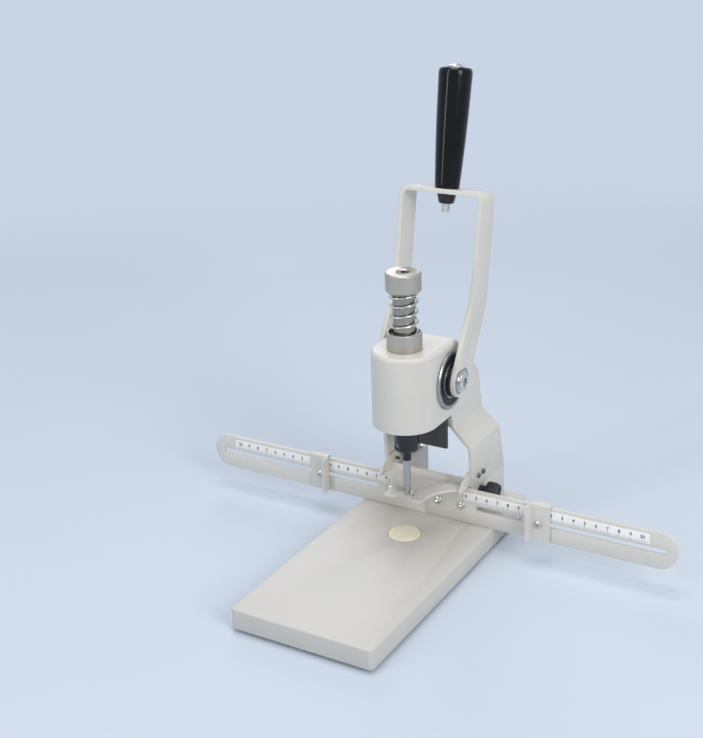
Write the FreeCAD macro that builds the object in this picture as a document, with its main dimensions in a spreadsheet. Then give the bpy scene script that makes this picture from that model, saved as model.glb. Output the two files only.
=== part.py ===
import FreeCAD, Part
import math
import os
import Sketcher
from FreeCAD import Placement, Rotation, Vector

# Hand-lever paper drill. Millimetres, +Z up, origin on the ground under the middle of the board.
# +X runs along the ruler to the right, -Y points to the user.

doc = FreeCAD.newDocument("paper_drill")
sheet = doc.addObject("Spreadsheet::Sheet", "Sizes")

driving_sizes = [
    ("board_width", 130.0, "base board, left to right"),
    ("board_depth", 286.0, "base board, front to back"),
    ("board_thick", 17.5, "base board"),
    ("board_edge", 1.5, "rounding of the board's edges"),
    ("board_corner", 4.0, "rounding of the board's upright corners"),
    ("foot_height", 3.5, "rubber foot"),
    ("foot_dia", 16.0, "rubber foot"),
    ("foot_inset", 15.0, "foot centre from both edges of the board"),
    ("foot_recess_dia", 8.0, "hole for the screw head in a foot"),
    ("foot_floor", 1.5, "rubber left above the screw head"),
    ("foot_screw_dia", 4.0, "foot screw shank"),
    ("foot_screw_head_dia", 7.4, "foot screw head"),
    ("foot_screw_head", 1.4, "foot screw head height"),
    ("foot_screw_bite", 9.0, "foot screw length in the board"),
    ("pad_dia", 29.0, "cutting pad"),
    ("pad_thick", 4.0, "cutting pad"),
    ("pad_proud", 0.3, "pad top above the board"),
    ("pad_offset", 6.8, "pad centre ahead of the drill axis"),
    ("pad_rim", 0.6, "chamfer at the pad's rim"),
    ("pad_play", 0.35, "gap round and below the pad"),
    ("board_shift", 2.33, "middle of the board in front of the origin"),
    ("fence_setback", 66.97, "fence face behind the middle of the board"),
    ("throat", 33.5, "drill axis ahead of the fence face"),
    ("pivot_height", 137.5, "lever pivot above the board"),
    ("gear_module", 2.0, "pinion and rack"),
    ("gear_teeth", 20.0, "pinion"),
    ("gear_width", 14.0, "pinion face width"),
    ("gear_backlash", 0.3, "play between pinion and rack at the pitch line"),
    ("pressure_angle", 20.0, "degrees"),
    ("rack_offset", 7.5, "rack pitch line behind the drill axis"),
    ("rack_below", 2.0, "tooth spaces below the pivot at rest"),
    ("rack_above", 7.0, "tooth spaces above the pivot at rest"),
    ("column_dia", 18.5, "quill column"),
    ("running_fit", 0.05, "radial play of a running shaft"),
    ("seat_gap", 0.02, "radial play of a pressed piece"),
    ("slide_gap", 0.3, "play beside a sliding piece"),
    ("stroke", 34.0, "quill travel"),
    ("head_width", 57.0, "head, side to side"),
    ("head_top", 33.0, "head top above the pivot"),
    ("head_bottom", 34.0, "nose underside below the pivot"),
    ("head_edge", 3.5, "rounding of the head's top edge"),
    ("head_crown_rear", 4.0, "rear end of the flat top, behind the fence face"),
    ("head_back_y", 49.0, "foot of the rear slope, behind the fence face"),
    ("head_back_z", 11.5, "foot of the rear slope, below the pivot"),
    ("head_heel_y", 55.0, "rear lower edge, behind the fence face"),
    ("head_heel_z", 47.5, "rear lower edge, below the pivot"),
    ("head_wall", 4.0, "wall round the hollow at the back of the head"),
    ("hollow_front", 24.0, "front of that hollow, behind the fence face"),
    ("cusp_y", -4.0, "front of the legs at the head, behind the fence face"),
    ("cusp_z", 35.5, "front of the legs at the head, below the pivot"),
    ("leg_thick", 3.0, "leg plate"),
    ("leg_span", 87.0, "outside of one leg to outside of the other"),
    ("leg_knee_z", 66.5, "lower end of the outward flare, below the pivot"),
    ("leg_shoulder_z", 47.5, "upper end of the outward flare, below the pivot"),
    ("leg_knee_front", 3.0, "front edge at the knee, behind the fence face"),
    ("leg_knee_rear", 61.4, "rear edge at the knee, behind the fence face"),
    ("leg_toe_front", 6.0, "front edge at the rail, behind the fence face"),
    ("leg_toe_rear", 71.6, "rear edge at the rail, behind the fence face"),
    ("leg_flange", 9.0, "width of the inward foot of a leg"),
    ("rail_height", 29.0, "side rail under each leg"),
    ("bore_dia", 24.0, "head bore for the bushes"),
    ("bush_flange_dia", 27.0, "lower bush flange"),
    ("bush_flange", 1.0, "lower bush flange thickness"),
    ("bush_length", 10.0, "lower bush in the bore"),
    ("chamber_dia", 46.0, "round chamber of the pinion"),
    ("bearing_dia", 52.0, "ball bearing outside"),
    ("bearing_bore", 25.0, "ball bearing inside"),
    ("bearing_width", 15.0, "ball bearing"),
    ("bearing_seat", 12.5, "depth of the bearing seat in the head"),
    ("outer_ring_wall", 3.6, "outer ring of the bearing"),
    ("inner_ring_wall", 3.4, "inner ring of the bearing"),
    ("seal_thick", 1.2, "bearing seal"),
    ("seal_recess", 0.5, "seal below the bearing's face"),
    ("ball_dia", 7.9, "bearing ball"),
    ("ball_count", 7.0, "balls in each bearing"),
    ("groove_play", 0.15, "play between a ball and its groove"),
    ("cup_dia", 30.0, "spring cup"),
    ("cup_height", 15.1, "spring cup above the head"),
    ("cup_bore", 26.4, "spring cup inside"),
    ("cup_floor", 1.8, "floor of the spring cup"),
    ("cup_spigot", 8.0, "spigot of the cup in the head bore"),
    ("cup_chamfer", 0.8, "edge of cup and cap"),
    ("cap_dia", 30.0, "top cap"),
    ("cap_height", 17.0, "top cap"),
    ("cap_gap", 0.4, "top cap above the spring cup at full stroke"),
    ("cap_socket", 12.0, "depth of the column's seat in the cap"),
    ("cap_screw_dia", 5.0, "screw down through the cap"),
    ("cap_screw_head_dia", 9.0, "its head"),
    ("cap_screw_head", 3.0, "its head"),
    ("cap_screw_bite", 14.0, "its length in the column"),
    ("spring_wire", 2.0, "return spring wire"),
    ("spring_dia", 24.8, "return spring outside"),
    ("spring_turns", 5.5, "return spring"),
    ("spring_clear", 0.3, "spring end to its seat"),
    ("chuck_dia", 21.5, "chuck"),
    ("chuck_bottom", 59.5, "chuck underside below the pivot, at rest"),
    ("chuck_top", 35.5, "chuck top below the pivot, at rest"),
    ("chuck_chamfer", 1.4, "chuck lower edge"),
    ("chuck_nose_dia", 11.0, "ring under the chuck"),
    ("chuck_nose", 1.0, "ring under the chuck"),
    ("column_seat", 14.0, "column length inside the chuck"),
    ("set_screw_dia", 5.0, "set screw of the chuck"),
    ("set_screw_rise", 5.5, "set screw above the chuck's underside"),
    ("set_screw_angle", 245.0, "set screw direction seen from above, degrees from +X"),
    ("bit_dia", 6.1, "hollow drill outside"),
    ("bit_bore", 4.9, "hollow drill inside"),
    ("bit_tip", 102.5, "drill tip below the pivot, at rest"),
    ("bit_bevel", 1.6, "length of the inner cutting bevel"),
    ("bit_shank", 9.0, "drill length inside the chuck"),
    ("collar_dia", 8.2, "collar on the drill"),
    ("collar_bottom", 69.5, "collar lower end below the pivot, at rest"),
    ("shaft_step", 0.6, "shoulder inside each bearing"),
    ("key_width", 5.0, "key between pinion and shaft"),
    ("key_height", 5.0, "key"),
    ("key_length", 12.0, "key"),
    ("spacer_dia", 29.0, "spacer between bearing and lever"),
    ("yoke_span", 78.0, "lever yoke, outside"),
    ("yoke_thick", 4.0, "lever yoke plate"),
    ("yoke_eye", 14.0, "radius of the yoke's lower ends"),
    ("yoke_lower_width", 28.0, "lower arms of the yoke"),
    ("yoke_upper_width", 25.0, "upper arms of the yoke"),
    ("yoke_bend_y", 36.6, "bend of the arms behind the pivot"),
    ("yoke_bend_z", 62.0, "bend of the arms above the pivot"),
    ("yoke_bend_radius", 75.0, "rear edge of the arms at that bend"),
    ("yoke_blend", 16.0, "straight edges end this far from that bend"),
    ("yoke_tilt", 10.5, "backward lean of the upper arms, degrees"),
    ("yoke_rise", 89.5, "upper arms above the bend, along the lean"),
    ("yoke_corner", 8.0, "outer radius of the yoke's upper corners"),
    ("yoke_flat", 10.0, "half width across the flats of the shaft ends"),
    ("arm_screw_dia", 8.0, "screw at each end of the shaft"),
    ("arm_screw_head_dia", 14.5, "its head"),
    ("arm_screw_head", 2.4, "its head"),
    ("arm_screw_bite", 16.0, "its length in the shaft"),
    ("arm_socket", 6.5, "hexagon socket across flats"),
    ("arm_washer_dia", 19.0, "washer under that head"),
    ("arm_washer", 0.8, "washer under that head"),
    ("stud_dia", 8.0, "handle stud"),
    ("stud_drop", 16.0, "stud below the yoke"),
    ("stud_end_dia", 6.8, "lower end of the stud"),
    ("stud_rise", 80.0, "stud above the yoke"),
    ("grip_length", 100.0, "handle grip"),
    ("grip_foot_dia", 21.0, "handle grip at the yoke"),
    ("grip_head_dia", 28.6, "handle grip at its upper end"),
    ("grip_round", 5.0, "rounding of the grip's upper end"),
    ("grip_cap_dia", 15.0, "bright cap screw on the grip"),
    ("grip_cap", 3.0, "bright cap screw on the grip"),
    ("nut_dia", 16.6, "tapered nut under the yoke"),
    ("nut_foot_dia", 13.4, "tapered nut, lower end"),
    ("nut_height", 9.0, "tapered nut"),
    ("guard_width", 50.0, "guard plate behind the chuck"),
    ("guard_back", -7.2, "front of the guard, behind the fence face"),
    ("guard_thick", 3.0, "guard plate"),
    ("guard_bottom", 65.5, "lower edge of the guard below the pivot"),
    ("guard_arch", 5.5, "hollow corner where the guard widens"),
    ("tray_rise", 33.8, "tray underside above the board"),
    ("tray_thick", 2.0, "tray sheet"),
    ("tray_rear", 7.0, "rear of the tray, behind the fence face"),
    ("tray_shoulder", -7.0, "full width ends here, behind the fence face"),
    ("tray_front", -43.0, "front of the wings, behind the fence face"),
    ("tray_notch", 7.2, "half width of the notch for the drill"),
    ("wing_reach", 18.0, "outer side of each wing from the middle"),
    ("wing_curve", 34.0, "radius of the hollow side of the tray"),
    ("tray_lip", 5.0, "rear lip above the tray"),
    ("ear_front", -12.0, "front of the ears, behind the fence face"),
    ("ear_peak_y", 6.8, "top of the ear's curved front, behind the fence face"),
    ("ear_rear", 33.0, "rear of the ears, behind the fence face"),
    ("ear_top", 47.2, "top of the ears above the board"),
    ("ear_curve", 26.0, "radius of the ear's front edge"),
    ("tray_screw_dia", 3.0, "screw through leg and ear"),
    ("tray_screw_head_dia", 5.0, "its head"),
    ("tray_screw_head", 1.8, "its head"),
    ("tray_screw_y", 17.0, "front screw behind the fence face"),
    ("tray_screw_step", 9.4, "front screw to rear screw"),
    ("tray_screw_z", 40.2, "those screws above the board"),
    ("arm_reach", 230.0, "ruler arm from the middle to its round end"),
    ("arm_height", 33.0, "ruler arm"),
    ("arm_thick", 3.0, "ruler arm"),
    ("arm_lift", 0.4, "ruler arm above the board"),
    ("slot_start", 49.0, "slot of the arm from the middle"),
    ("slot_end", 220.0, "slot of the arm from the middle"),
    ("slot_height", 5.0, "slot of the arm"),
    ("slot_centre", 16.6, "slot above the board"),
    ("scale_start", 38.0, "scale strip from the middle"),
    ("scale_end", 206.0, "scale strip from the middle"),
    ("scale_low", 21.3, "scale strip above the board"),
    ("scale_high", 30.5, "scale strip above the board"),
    ("scale_thick", 0.4, "scale strip"),
    ("ruler_screw_near", 12.3, "inner ruler screw from the middle"),
    ("ruler_screw_far", 35.5, "outer ruler screw from the middle"),
    ("ruler_tap", 11.0, "depth of its hole in the carriage"),
    ("ruler_seam", 0.3, "joint between the two arms"),
    ("ruler_screw_dia", 4.0, "ruler screw"),
    ("ruler_screw_head_dia", 7.6, "ruler screw head"),
    ("ruler_screw_head", 1.3, "ruler screw head"),
    ("carriage_upright", 2.3, "plate behind the ruler arms"),
    ("carriage_half", 46.0, "half width of that plate"),
    ("carriage_floor", 8.0, "thickness of the sliding block"),
    ("carriage_rear", 62.0, "rear of the sliding block, behind the fence face"),
    ("rail_bolt_dia", 6.0, "bolt from below into a rail"),
    ("rail_bolt_head_dia", 10.0, "its head"),
    ("rail_bolt_head", 5.0, "its head"),
    ("rail_bolt_y", 18.0, "front rail bolt behind the fence face"),
    ("rail_bolt_step", 30.0, "front rail bolt to rear rail bolt"),
    ("rail_bolt_bite", 16.0, "rail bolt length in the rail"),
    ("leg_screw_dia", 4.0, "screw through a leg's foot"),
    ("leg_screw_head_dia", 5.6, "its head"),
    ("leg_screw_head", 2.4, "its head"),
    ("leg_screw_bite", 9.0, "its length in the rail"),
    ("leg_screw_y", 38.0, "front leg screw behind the fence face"),
    ("leg_screw_step", 24.0, "front leg screw to rear leg screw"),
    ("knob_dia", 20.0, "clamp knob over its lobes"),
    ("knob_lobes", 5.0, "clamp knob"),
    ("knob_length", 9.5, "clamp knob"),
    ("knob_gap", 7.0, "knob from the rail"),
    ("knob_boss_dia", 10.0, "boss between knob and rail"),
    ("knob_y", 21.0, "knob behind the fence face"),
    ("knob_z", 24.0, "knob above the board"),
    ("knob_stud_dia", 5.0, "clamp stud"),
    ("carriage_cheek", 22.0, "front to back of the blocks the stud presses on"),
    ("stop_face", 101.5, "stop plate starts here, from the middle"),
    ("stop_length", 18.0, "stop plate"),
    ("stop_sheet", 1.5, "stop sheet"),
    ("stop_reach", 9.0, "stop flange ahead of the plate"),
    ("stop_hook", 5.0, "stop lip behind the arm's top edge"),
    ("stop_play", 0.3, "stop to arm"),
    ("stop_screw_along", 7.5, "stop screw from the flange"),
    ("stop_screw_dia", 4.0, "stop screw"),
    ("stop_screw_head_dia", 7.2, "stop screw head"),
    ("stop_screw_head", 2.0, "stop screw head"),
    ("wing_boss_dia", 9.0, "wing nut boss"),
    ("wing_boss", 5.0, "wing nut boss length"),
    ("wing_span", 22.0, "wing nut over both wings"),
    ("wing_rise", 8.0, "wing nut, seat to wing tips"),
    ("wing_sheet", 2.0, "wing thickness"),
]

for row, (alias, value, note) in enumerate(driving_sizes, start=1):
    sheet.set("A%d" % row, alias.replace("_", " "))
    sheet.set("B%d" % row, str(value))
    sheet.setAlias("B%d" % row, alias)
    sheet.set("C%d" % row, note)
doc.recompute()


# A size keeps its number and the sheet expression that it comes from.
class Size:
    def __init__(self, value, text):
        self.value = value
        self.text = text

    def __add__(self, other):
        other = as_size(other)
        return Size(self.value + other.value, "(%s + %s)" % (self.text, other.text))

    def __sub__(self, other):
        other = as_size(other)
        return Size(self.value - other.value, "(%s - %s)" % (self.text, other.text))

    def __mul__(self, other):
        other = as_size(other)
        return Size(self.value * other.value, "(%s * %s)" % (self.text, other.text))

    def __truediv__(self, other):
        other = as_size(other)
        return Size(self.value / other.value, "(%s / %s)" % (self.text, other.text))

    def __neg__(self):
        return Size(-self.value, "(0 - %s)" % self.text)

    def __radd__(self, other):
        return as_size(other) + self

    def __rsub__(self, other):
        return as_size(other) - self

    def __rmul__(self, other):
        return as_size(other) * self


def as_size(number):
    if isinstance(number, Size):
        return number
    return Size(float(number), "(%.6f)" % number)


def sine(angle):
    return Size(math.sin(math.radians(angle.value)), "sin(%s * 1deg)" % angle.text)


def cosine(angle):
    return Size(math.cos(math.radians(angle.value)), "cos(%s * 1deg)" % angle.text)


def hypotenuse(first, second):
    text = "sqrt(%s * %s + %s * %s)" % (first.text, first.text, second.text, second.text)
    return Size(math.hypot(first.value, second.value), text)


class Sizes:
    def __getattr__(self, alias):
        return Size(float(sheet.get(alias)), "Sizes." + alias)


dim = Sizes()
zero = as_size(0)

board_top = dim.foot_height + dim.board_thick
fence_y = dim.fence_setback
drill_y = fence_y - dim.throat
pitch_radius = dim.gear_module * dim.gear_teeth / 2
pivot_y = drill_y + dim.rack_offset + pitch_radius
pivot_z = board_top + dim.pivot_height
half_head = dim.head_width / 2
half_span = dim.leg_span / 2
rail_inner = half_span - dim.leg_flange
head_top = pivot_z + dim.head_top
cap_bottom = head_top + dim.cup_height + dim.stroke + dim.cap_gap


def bind(item, name, size):
    item.setExpression(name, as_size(size).text)


def put(item, x, y, z):
    bind(item, "Placement.Base.x", x)
    bind(item, "Placement.Base.y", y)
    bind(item, "Placement.Base.z", z)


turn_to = {
    "X": Rotation(Vector(0, 1, 0), 90),
    "-X": Rotation(Vector(0, 1, 0), -90),
    "Y": Rotation(Vector(1, 0, 0), -90),
    "-Y": Rotation(Vector(1, 0, 0), 90),
    "Z": Rotation(),
    "-Z": Rotation(Vector(1, 0, 0), 180),
}
plane_turn = {
    "XY": Rotation(),
    "XZ": Rotation(Vector(1, 0, 0), 90),
    "YZ": Rotation(Vector(1, 1, 1), 120),
}
plane_normal = {"XY": Vector(0, 0, 1), "XZ": Vector(0, 1, 0), "YZ": Vector(1, 0, 0)}


def block(name, xs, ys, zs):
    item = doc.addObject("Part::Box", name)
    bind(item, "Length", as_size(xs[1]) - xs[0])
    bind(item, "Width", as_size(ys[1]) - ys[0])
    bind(item, "Height", as_size(zs[1]) - zs[0])
    put(item, xs[0], ys[0], zs[0])
    return item


def rod(name, radius, length, x, y, z, axis="Z"):
    item = doc.addObject("Part::Cylinder", name)
    bind(item, "Radius", radius)
    bind(item, "Height", length)
    item.Placement = Placement(Vector(), turn_to[axis])
    put(item, x, y, z)
    return item


def hexagon(name, across, length, x, y, z, axis="Z"):
    item = doc.addObject("Part::Prism", name)
    item.Polygon = 6
    bind(item, "Circumradius", across / math.sqrt(3))
    bind(item, "Height", length)
    item.Placement = Placement(Vector(), turn_to[axis])
    put(item, x, y, z)
    return item


def fuse(name, *pieces):
    item = doc.addObject("Part::MultiFuse", name)
    item.Shapes = list(pieces)
    item.Refine = True
    return item


def cut(name, base, *tools):
    item = doc.addObject("Part::Cut", name)
    item.Base = base
    item.Tool = tools[0] if len(tools) == 1 else fuse(name + "_tools", *tools)
    item.Refine = True
    return item


def common(name, first, second):
    item = doc.addObject("Part::Common", name)
    item.Base = first
    item.Tool = second
    item.Refine = True
    return item


def group(name, pieces):
    item = doc.addObject("Part::Compound", name)
    item.Links = list(pieces)
    return item


def rounded(name, base, radius, wanted):
    doc.recompute()
    item = doc.addObject("Part::Fillet", name)
    item.Base = base
    picked = [n for n, edge in enumerate(base.Shape.Edges, start=1) if wanted(edge)]
    item.Edges = [(n, radius.value, radius.value) for n in picked]
    return item


def flat_at(z, spread=0.01):
    def wanted(edge):
        box = edge.BoundBox
        return abs(box.ZMin - z.value) < spread and abs(box.ZMax - z.value) < spread
    return wanted


# An outline is a ring of (across, up, bend): a bend is the radius of the arc to the next point,
# positive where the arc turns left, and None gives a straight side.
def draw(sketch, outline):
    count = len(outline)
    ends = []
    for n, (across, up, bend) in enumerate(outline):
        start = Vector(as_size(across).value, as_size(up).value, 0)
        target = outline[(n + 1) % count]
        finish = Vector(as_size(target[0]).value, as_size(target[1]).value, 0)
        if bend is None:
            sketch.addGeometry(Part.LineSegment(start, finish), False)
            ends.append((1, 2))
            continue
        radius = abs(bend.value)
        chord = finish - start
        left = Vector(-chord.y, chord.x, 0).normalize()
        depth = math.sqrt(max(radius ** 2 - (chord.Length / 2) ** 2, 0))
        centre = (start + finish) * 0.5 + left * math.copysign(depth, bend.value)
        circle = Part.Circle(centre, Vector(0, 0, 1), radius)
        opened, closed = (start, finish) if bend.value > 0 else (finish, start)
        first = math.atan2(opened.y - centre.y, opened.x - centre.x)
        last = math.atan2(closed.y - centre.y, closed.x - centre.x)
        if last < first:
            last += 2 * math.pi
        sketch.addGeometry(Part.ArcOfCircle(circle, first, last), False)
        ends.append((1, 2) if bend.value > 0 else (2, 1))
    for n, (across, up, bend) in enumerate(outline):
        following = (n + 1) % count
        sketch.addConstraint(Sketcher.Constraint("Coincident", n, ends[n][1], following, ends[following][0]))
        for kind, size in (("DistanceX", across), ("DistanceY", up)):
            size = as_size(size)
            mark = sketch.addConstraint(Sketcher.Constraint(kind, -1, 1, n, ends[n][0], size.value))
            sketch.setExpression("Constraints[%d]" % mark, size.text)
        if bend is not None:
            mark = sketch.addConstraint(Sketcher.Constraint("Radius", n, abs(bend.value)))
            sketch.setExpression("Constraints[%d]" % mark, bend.text if bend.value > 0 else (-bend).text)


def prism(name, plane, outline, start, finish):
    sketch = doc.addObject("Sketcher::SketchObject", name + "_outline")
    sketch.Placement = Placement(Vector(), plane_turn[plane])
    bind(sketch, "Placement.Base." + {"XY": "z", "XZ": "y", "YZ": "x"}[plane], start)
    draw(sketch, outline)
    item = doc.addObject("Part::Extrusion", name)
    item.Base = sketch
    item.DirMode = "Custom"
    item.Dir = plane_normal[plane]
    bind(item, "LengthFwd", as_size(finish) - start)
    item.Solid = True
    return item


def origin_plane(body, role):
    return [face for face in body.Origin.OriginFeatures if face.Role == role][0]


# A turned piece is the half section (radius, height) swung round its own upright axis.
def turned(name, x, y, z, section, lean=None):
    body = doc.addObject("PartDesign::Body", name)
    sketch = body.newObject("Sketcher::SketchObject", name + "_section")
    sketch.AttachmentSupport = [(origin_plane(body, "XZ_Plane"), "")]
    sketch.MapMode = "FlatFace"
    draw(sketch, section)
    swing = body.newObject("PartDesign::Revolution", name + "_swing")
    swing.Profile = sketch
    swing.ReferenceAxis = (sketch, ["V_Axis"])
    swing.Angle = 360.0
    if lean is not None:
        body.Placement = Placement(Vector(), Rotation(Vector(-1, 0, 0), lean.value))
        bind(body, "Placement.Rotation.Angle", lean)
    put(body, x, y, z)
    return body


def turned_piece(name, x, y, z, section, axis="Z"):
    sketch = doc.addObject("Sketcher::SketchObject", name + "_section")
    sketch.Placement = Placement(Vector(), plane_turn["XZ"])
    draw(sketch, section)
    item = doc.addObject("Part::Revolution", name)
    item.Source = sketch
    item.Axis = Vector(0, 0, 1)
    item.Base = Vector(0, 0, 0)
    item.Angle = 360.0
    item.Solid = True
    item.Placement = Placement(Vector(), turn_to[axis])
    put(item, x, y, z)
    return item


# A plate body is an outline padded from one face to another, cut by round holes and slots.
def padded(name, plane, outline, start, finish):
    role = {"XY": "XY_Plane", "XZ": "XZ_Plane", "YZ": "YZ_Plane"}[plane]
    body = doc.addObject("PartDesign::Body", name)
    sketch = body.newObject("Sketcher::SketchObject", name + "_outline")
    sketch.AttachmentSupport = [(origin_plane(body, role), "")]
    sketch.MapMode = "FlatFace"
    draw(sketch, outline)
    pad = body.newObject("PartDesign::Pad", name + "_pad")
    pad.Profile = sketch
    bind(pad, "Length", as_size(finish) - start)
    pad.Reversed = plane == "XZ"
    bind(body, "Placement.Base." + {"XY": "z", "XZ": "y", "YZ": "x"}[plane], start)
    return body


def pierced(body, name, plane, outlines, length):
    role = {"XY": "XY_Plane", "XZ": "XZ_Plane", "YZ": "YZ_Plane"}[plane]
    doc.recompute()
    before = body.Shape.Volume
    for n, outline in enumerate(outlines):
        sketch = body.newObject("Sketcher::SketchObject", "%s_%d_outline" % (name, n))
        sketch.AttachmentSupport = [(origin_plane(body, role), "")]
        sketch.MapMode = "FlatFace"
        if len(outline) == 3:
            circle(sketch, *outline)
        else:
            draw(sketch, outline)
        pocket = body.newObject("PartDesign::Pocket", "%s_%d" % (name, n))
        pocket.Profile = sketch
        pocket.Midplane = True
        bind(pocket, "Length", length * 2)
    doc.recompute()
    if not body.Shape.Volume < before:
        raise ValueError(name + " removes nothing")


def circle(sketch, across, up, radius):
    centre = Vector(across.value, up.value, 0)
    sketch.addGeometry(Part.Circle(centre, Vector(0, 0, 1), radius.value), False)
    for kind, size in (("DistanceX", across), ("DistanceY", up)):
        mark = sketch.addConstraint(Sketcher.Constraint(kind, -1, 1, 0, 3, size.value))
        sketch.setExpression("Constraints[%d]" % mark, size.text)
    mark = sketch.addConstraint(Sketcher.Constraint("Radius", 0, radius.value))
    sketch.setExpression("Constraints[%d]" % mark, radius.text)


def rectangle(low_across, high_across, low_up, high_up):
    return [(low_across, low_up, None), (high_across, low_up, None),
            (high_across, high_up, None), (low_across, high_up, None)]


def either_side(side, inner, outer):
    return (inner, outer) if side > 0 else (-outer, -inner)


side_names = {1: "right", -1: "left"}
pieces = []


def keep(item):
    pieces.append(item)
    return item


# Base board, its feet and the cutting pad
def base_board():
    half_x = dim.board_width / 2
    rear = dim.board_depth / 2 - dim.board_shift
    front = rear - dim.board_depth
    corner = dim.board_corner
    outline = [
        (corner - half_x, front, None), (half_x - corner, front, corner),
        (half_x, front + corner, None), (half_x, rear - corner, corner),
        (half_x - corner, rear, None), (corner - half_x, rear, corner),
        (-half_x, rear - corner, None), (-half_x, front + corner, corner),
    ]
    slab = rounded("board_slab", prism("board_block", "XY", outline, dim.foot_height, board_top),
                   dim.board_edge, flat_at(board_top))
    pad_y = drill_y - dim.pad_offset
    seat_radius = dim.pad_dia / 2 + dim.pad_play
    seat_floor = board_top + dim.pad_proud - dim.pad_thick - dim.pad_play
    holes = [rod("pad_seat", seat_radius, board_top + 1 - seat_floor, zero, pad_y, seat_floor)]
    for n, (x, y) in enumerate(foot_places()):
        holes.append(rod("foot_hole_%d" % n, dim.foot_screw_dia / 2 + dim.seat_gap,
                         dim.foot_screw_bite + dim.slide_gap, x, y, dim.foot_height))
    for n, (x, y) in enumerate(rail_bolt_places()):
        holes.append(rod("bolt_hole_%d" % n, dim.rail_bolt_dia / 2 + dim.seat_gap, dim.board_thick, x, y,
                         dim.foot_height))
        holes.append(rod("bolt_recess_%d" % n, dim.rail_bolt_head_dia / 2 + dim.slide_gap,
                         dim.rail_bolt_head + dim.slide_gap, x, y, dim.foot_height))
    keep(cut("base_board", slab, *holes))


def foot_places():
    half_x = dim.board_width / 2 - dim.foot_inset
    half_y = dim.board_depth / 2 - dim.foot_inset
    return [(sx * half_x, sy * half_y - dim.board_shift) for sx in (-1, 1) for sy in (-1, 1)]


def rail_bolt_places():
    middle = (rail_inner + half_span) / 2
    front = fence_y + dim.rail_bolt_y
    return [(side * middle, front + step) for side in (-1, 1) for step in (zero, dim.rail_bolt_step)]


def feet():
    feet_made = []
    screws = []
    radius = dim.foot_dia / 2
    recess = dim.foot_recess_dia / 2
    shank = dim.foot_screw_dia / 2
    recess_top = dim.foot_height - dim.foot_floor
    for n, (x, y) in enumerate(foot_places()):
        section = [
            (recess, 0, None), (radius - 1, 0, None), (radius, 1, None), (radius - 0.5, dim.foot_height,
                                                                          None),
            (shank + dim.seat_gap, dim.foot_height, None), (shank + dim.seat_gap, recess_top, None),
            (recess, recess_top, None),
        ]
        feet_made.append(turned_piece("foot_%d" % n, x, y, zero, section))
        head = rod("foot_head_%d" % n, dim.foot_screw_head_dia / 2, dim.foot_screw_head, x, y,
                   recess_top - dim.foot_screw_head)
        body = rod("foot_shank_%d" % n, shank, dim.foot_floor + dim.foot_screw_bite, x, y, recess_top)
        screws.append(fuse("foot_screw_%d" % n, head, body))
    keep(group("rubber_feet", feet_made))
    keep(group("foot_screws", screws))


def cutting_pad():
    radius = dim.pad_dia / 2
    rim = dim.pad_rim
    section = [(0, 0, None), (radius, 0, None), (radius, dim.pad_thick - rim, None),
               (radius - rim, dim.pad_thick, None), (0, dim.pad_thick, None)]
    keep(turned("cutting_pad", zero, drill_y - dim.pad_offset, board_top + dim.pad_proud - dim.pad_thick,
                section))


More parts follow.
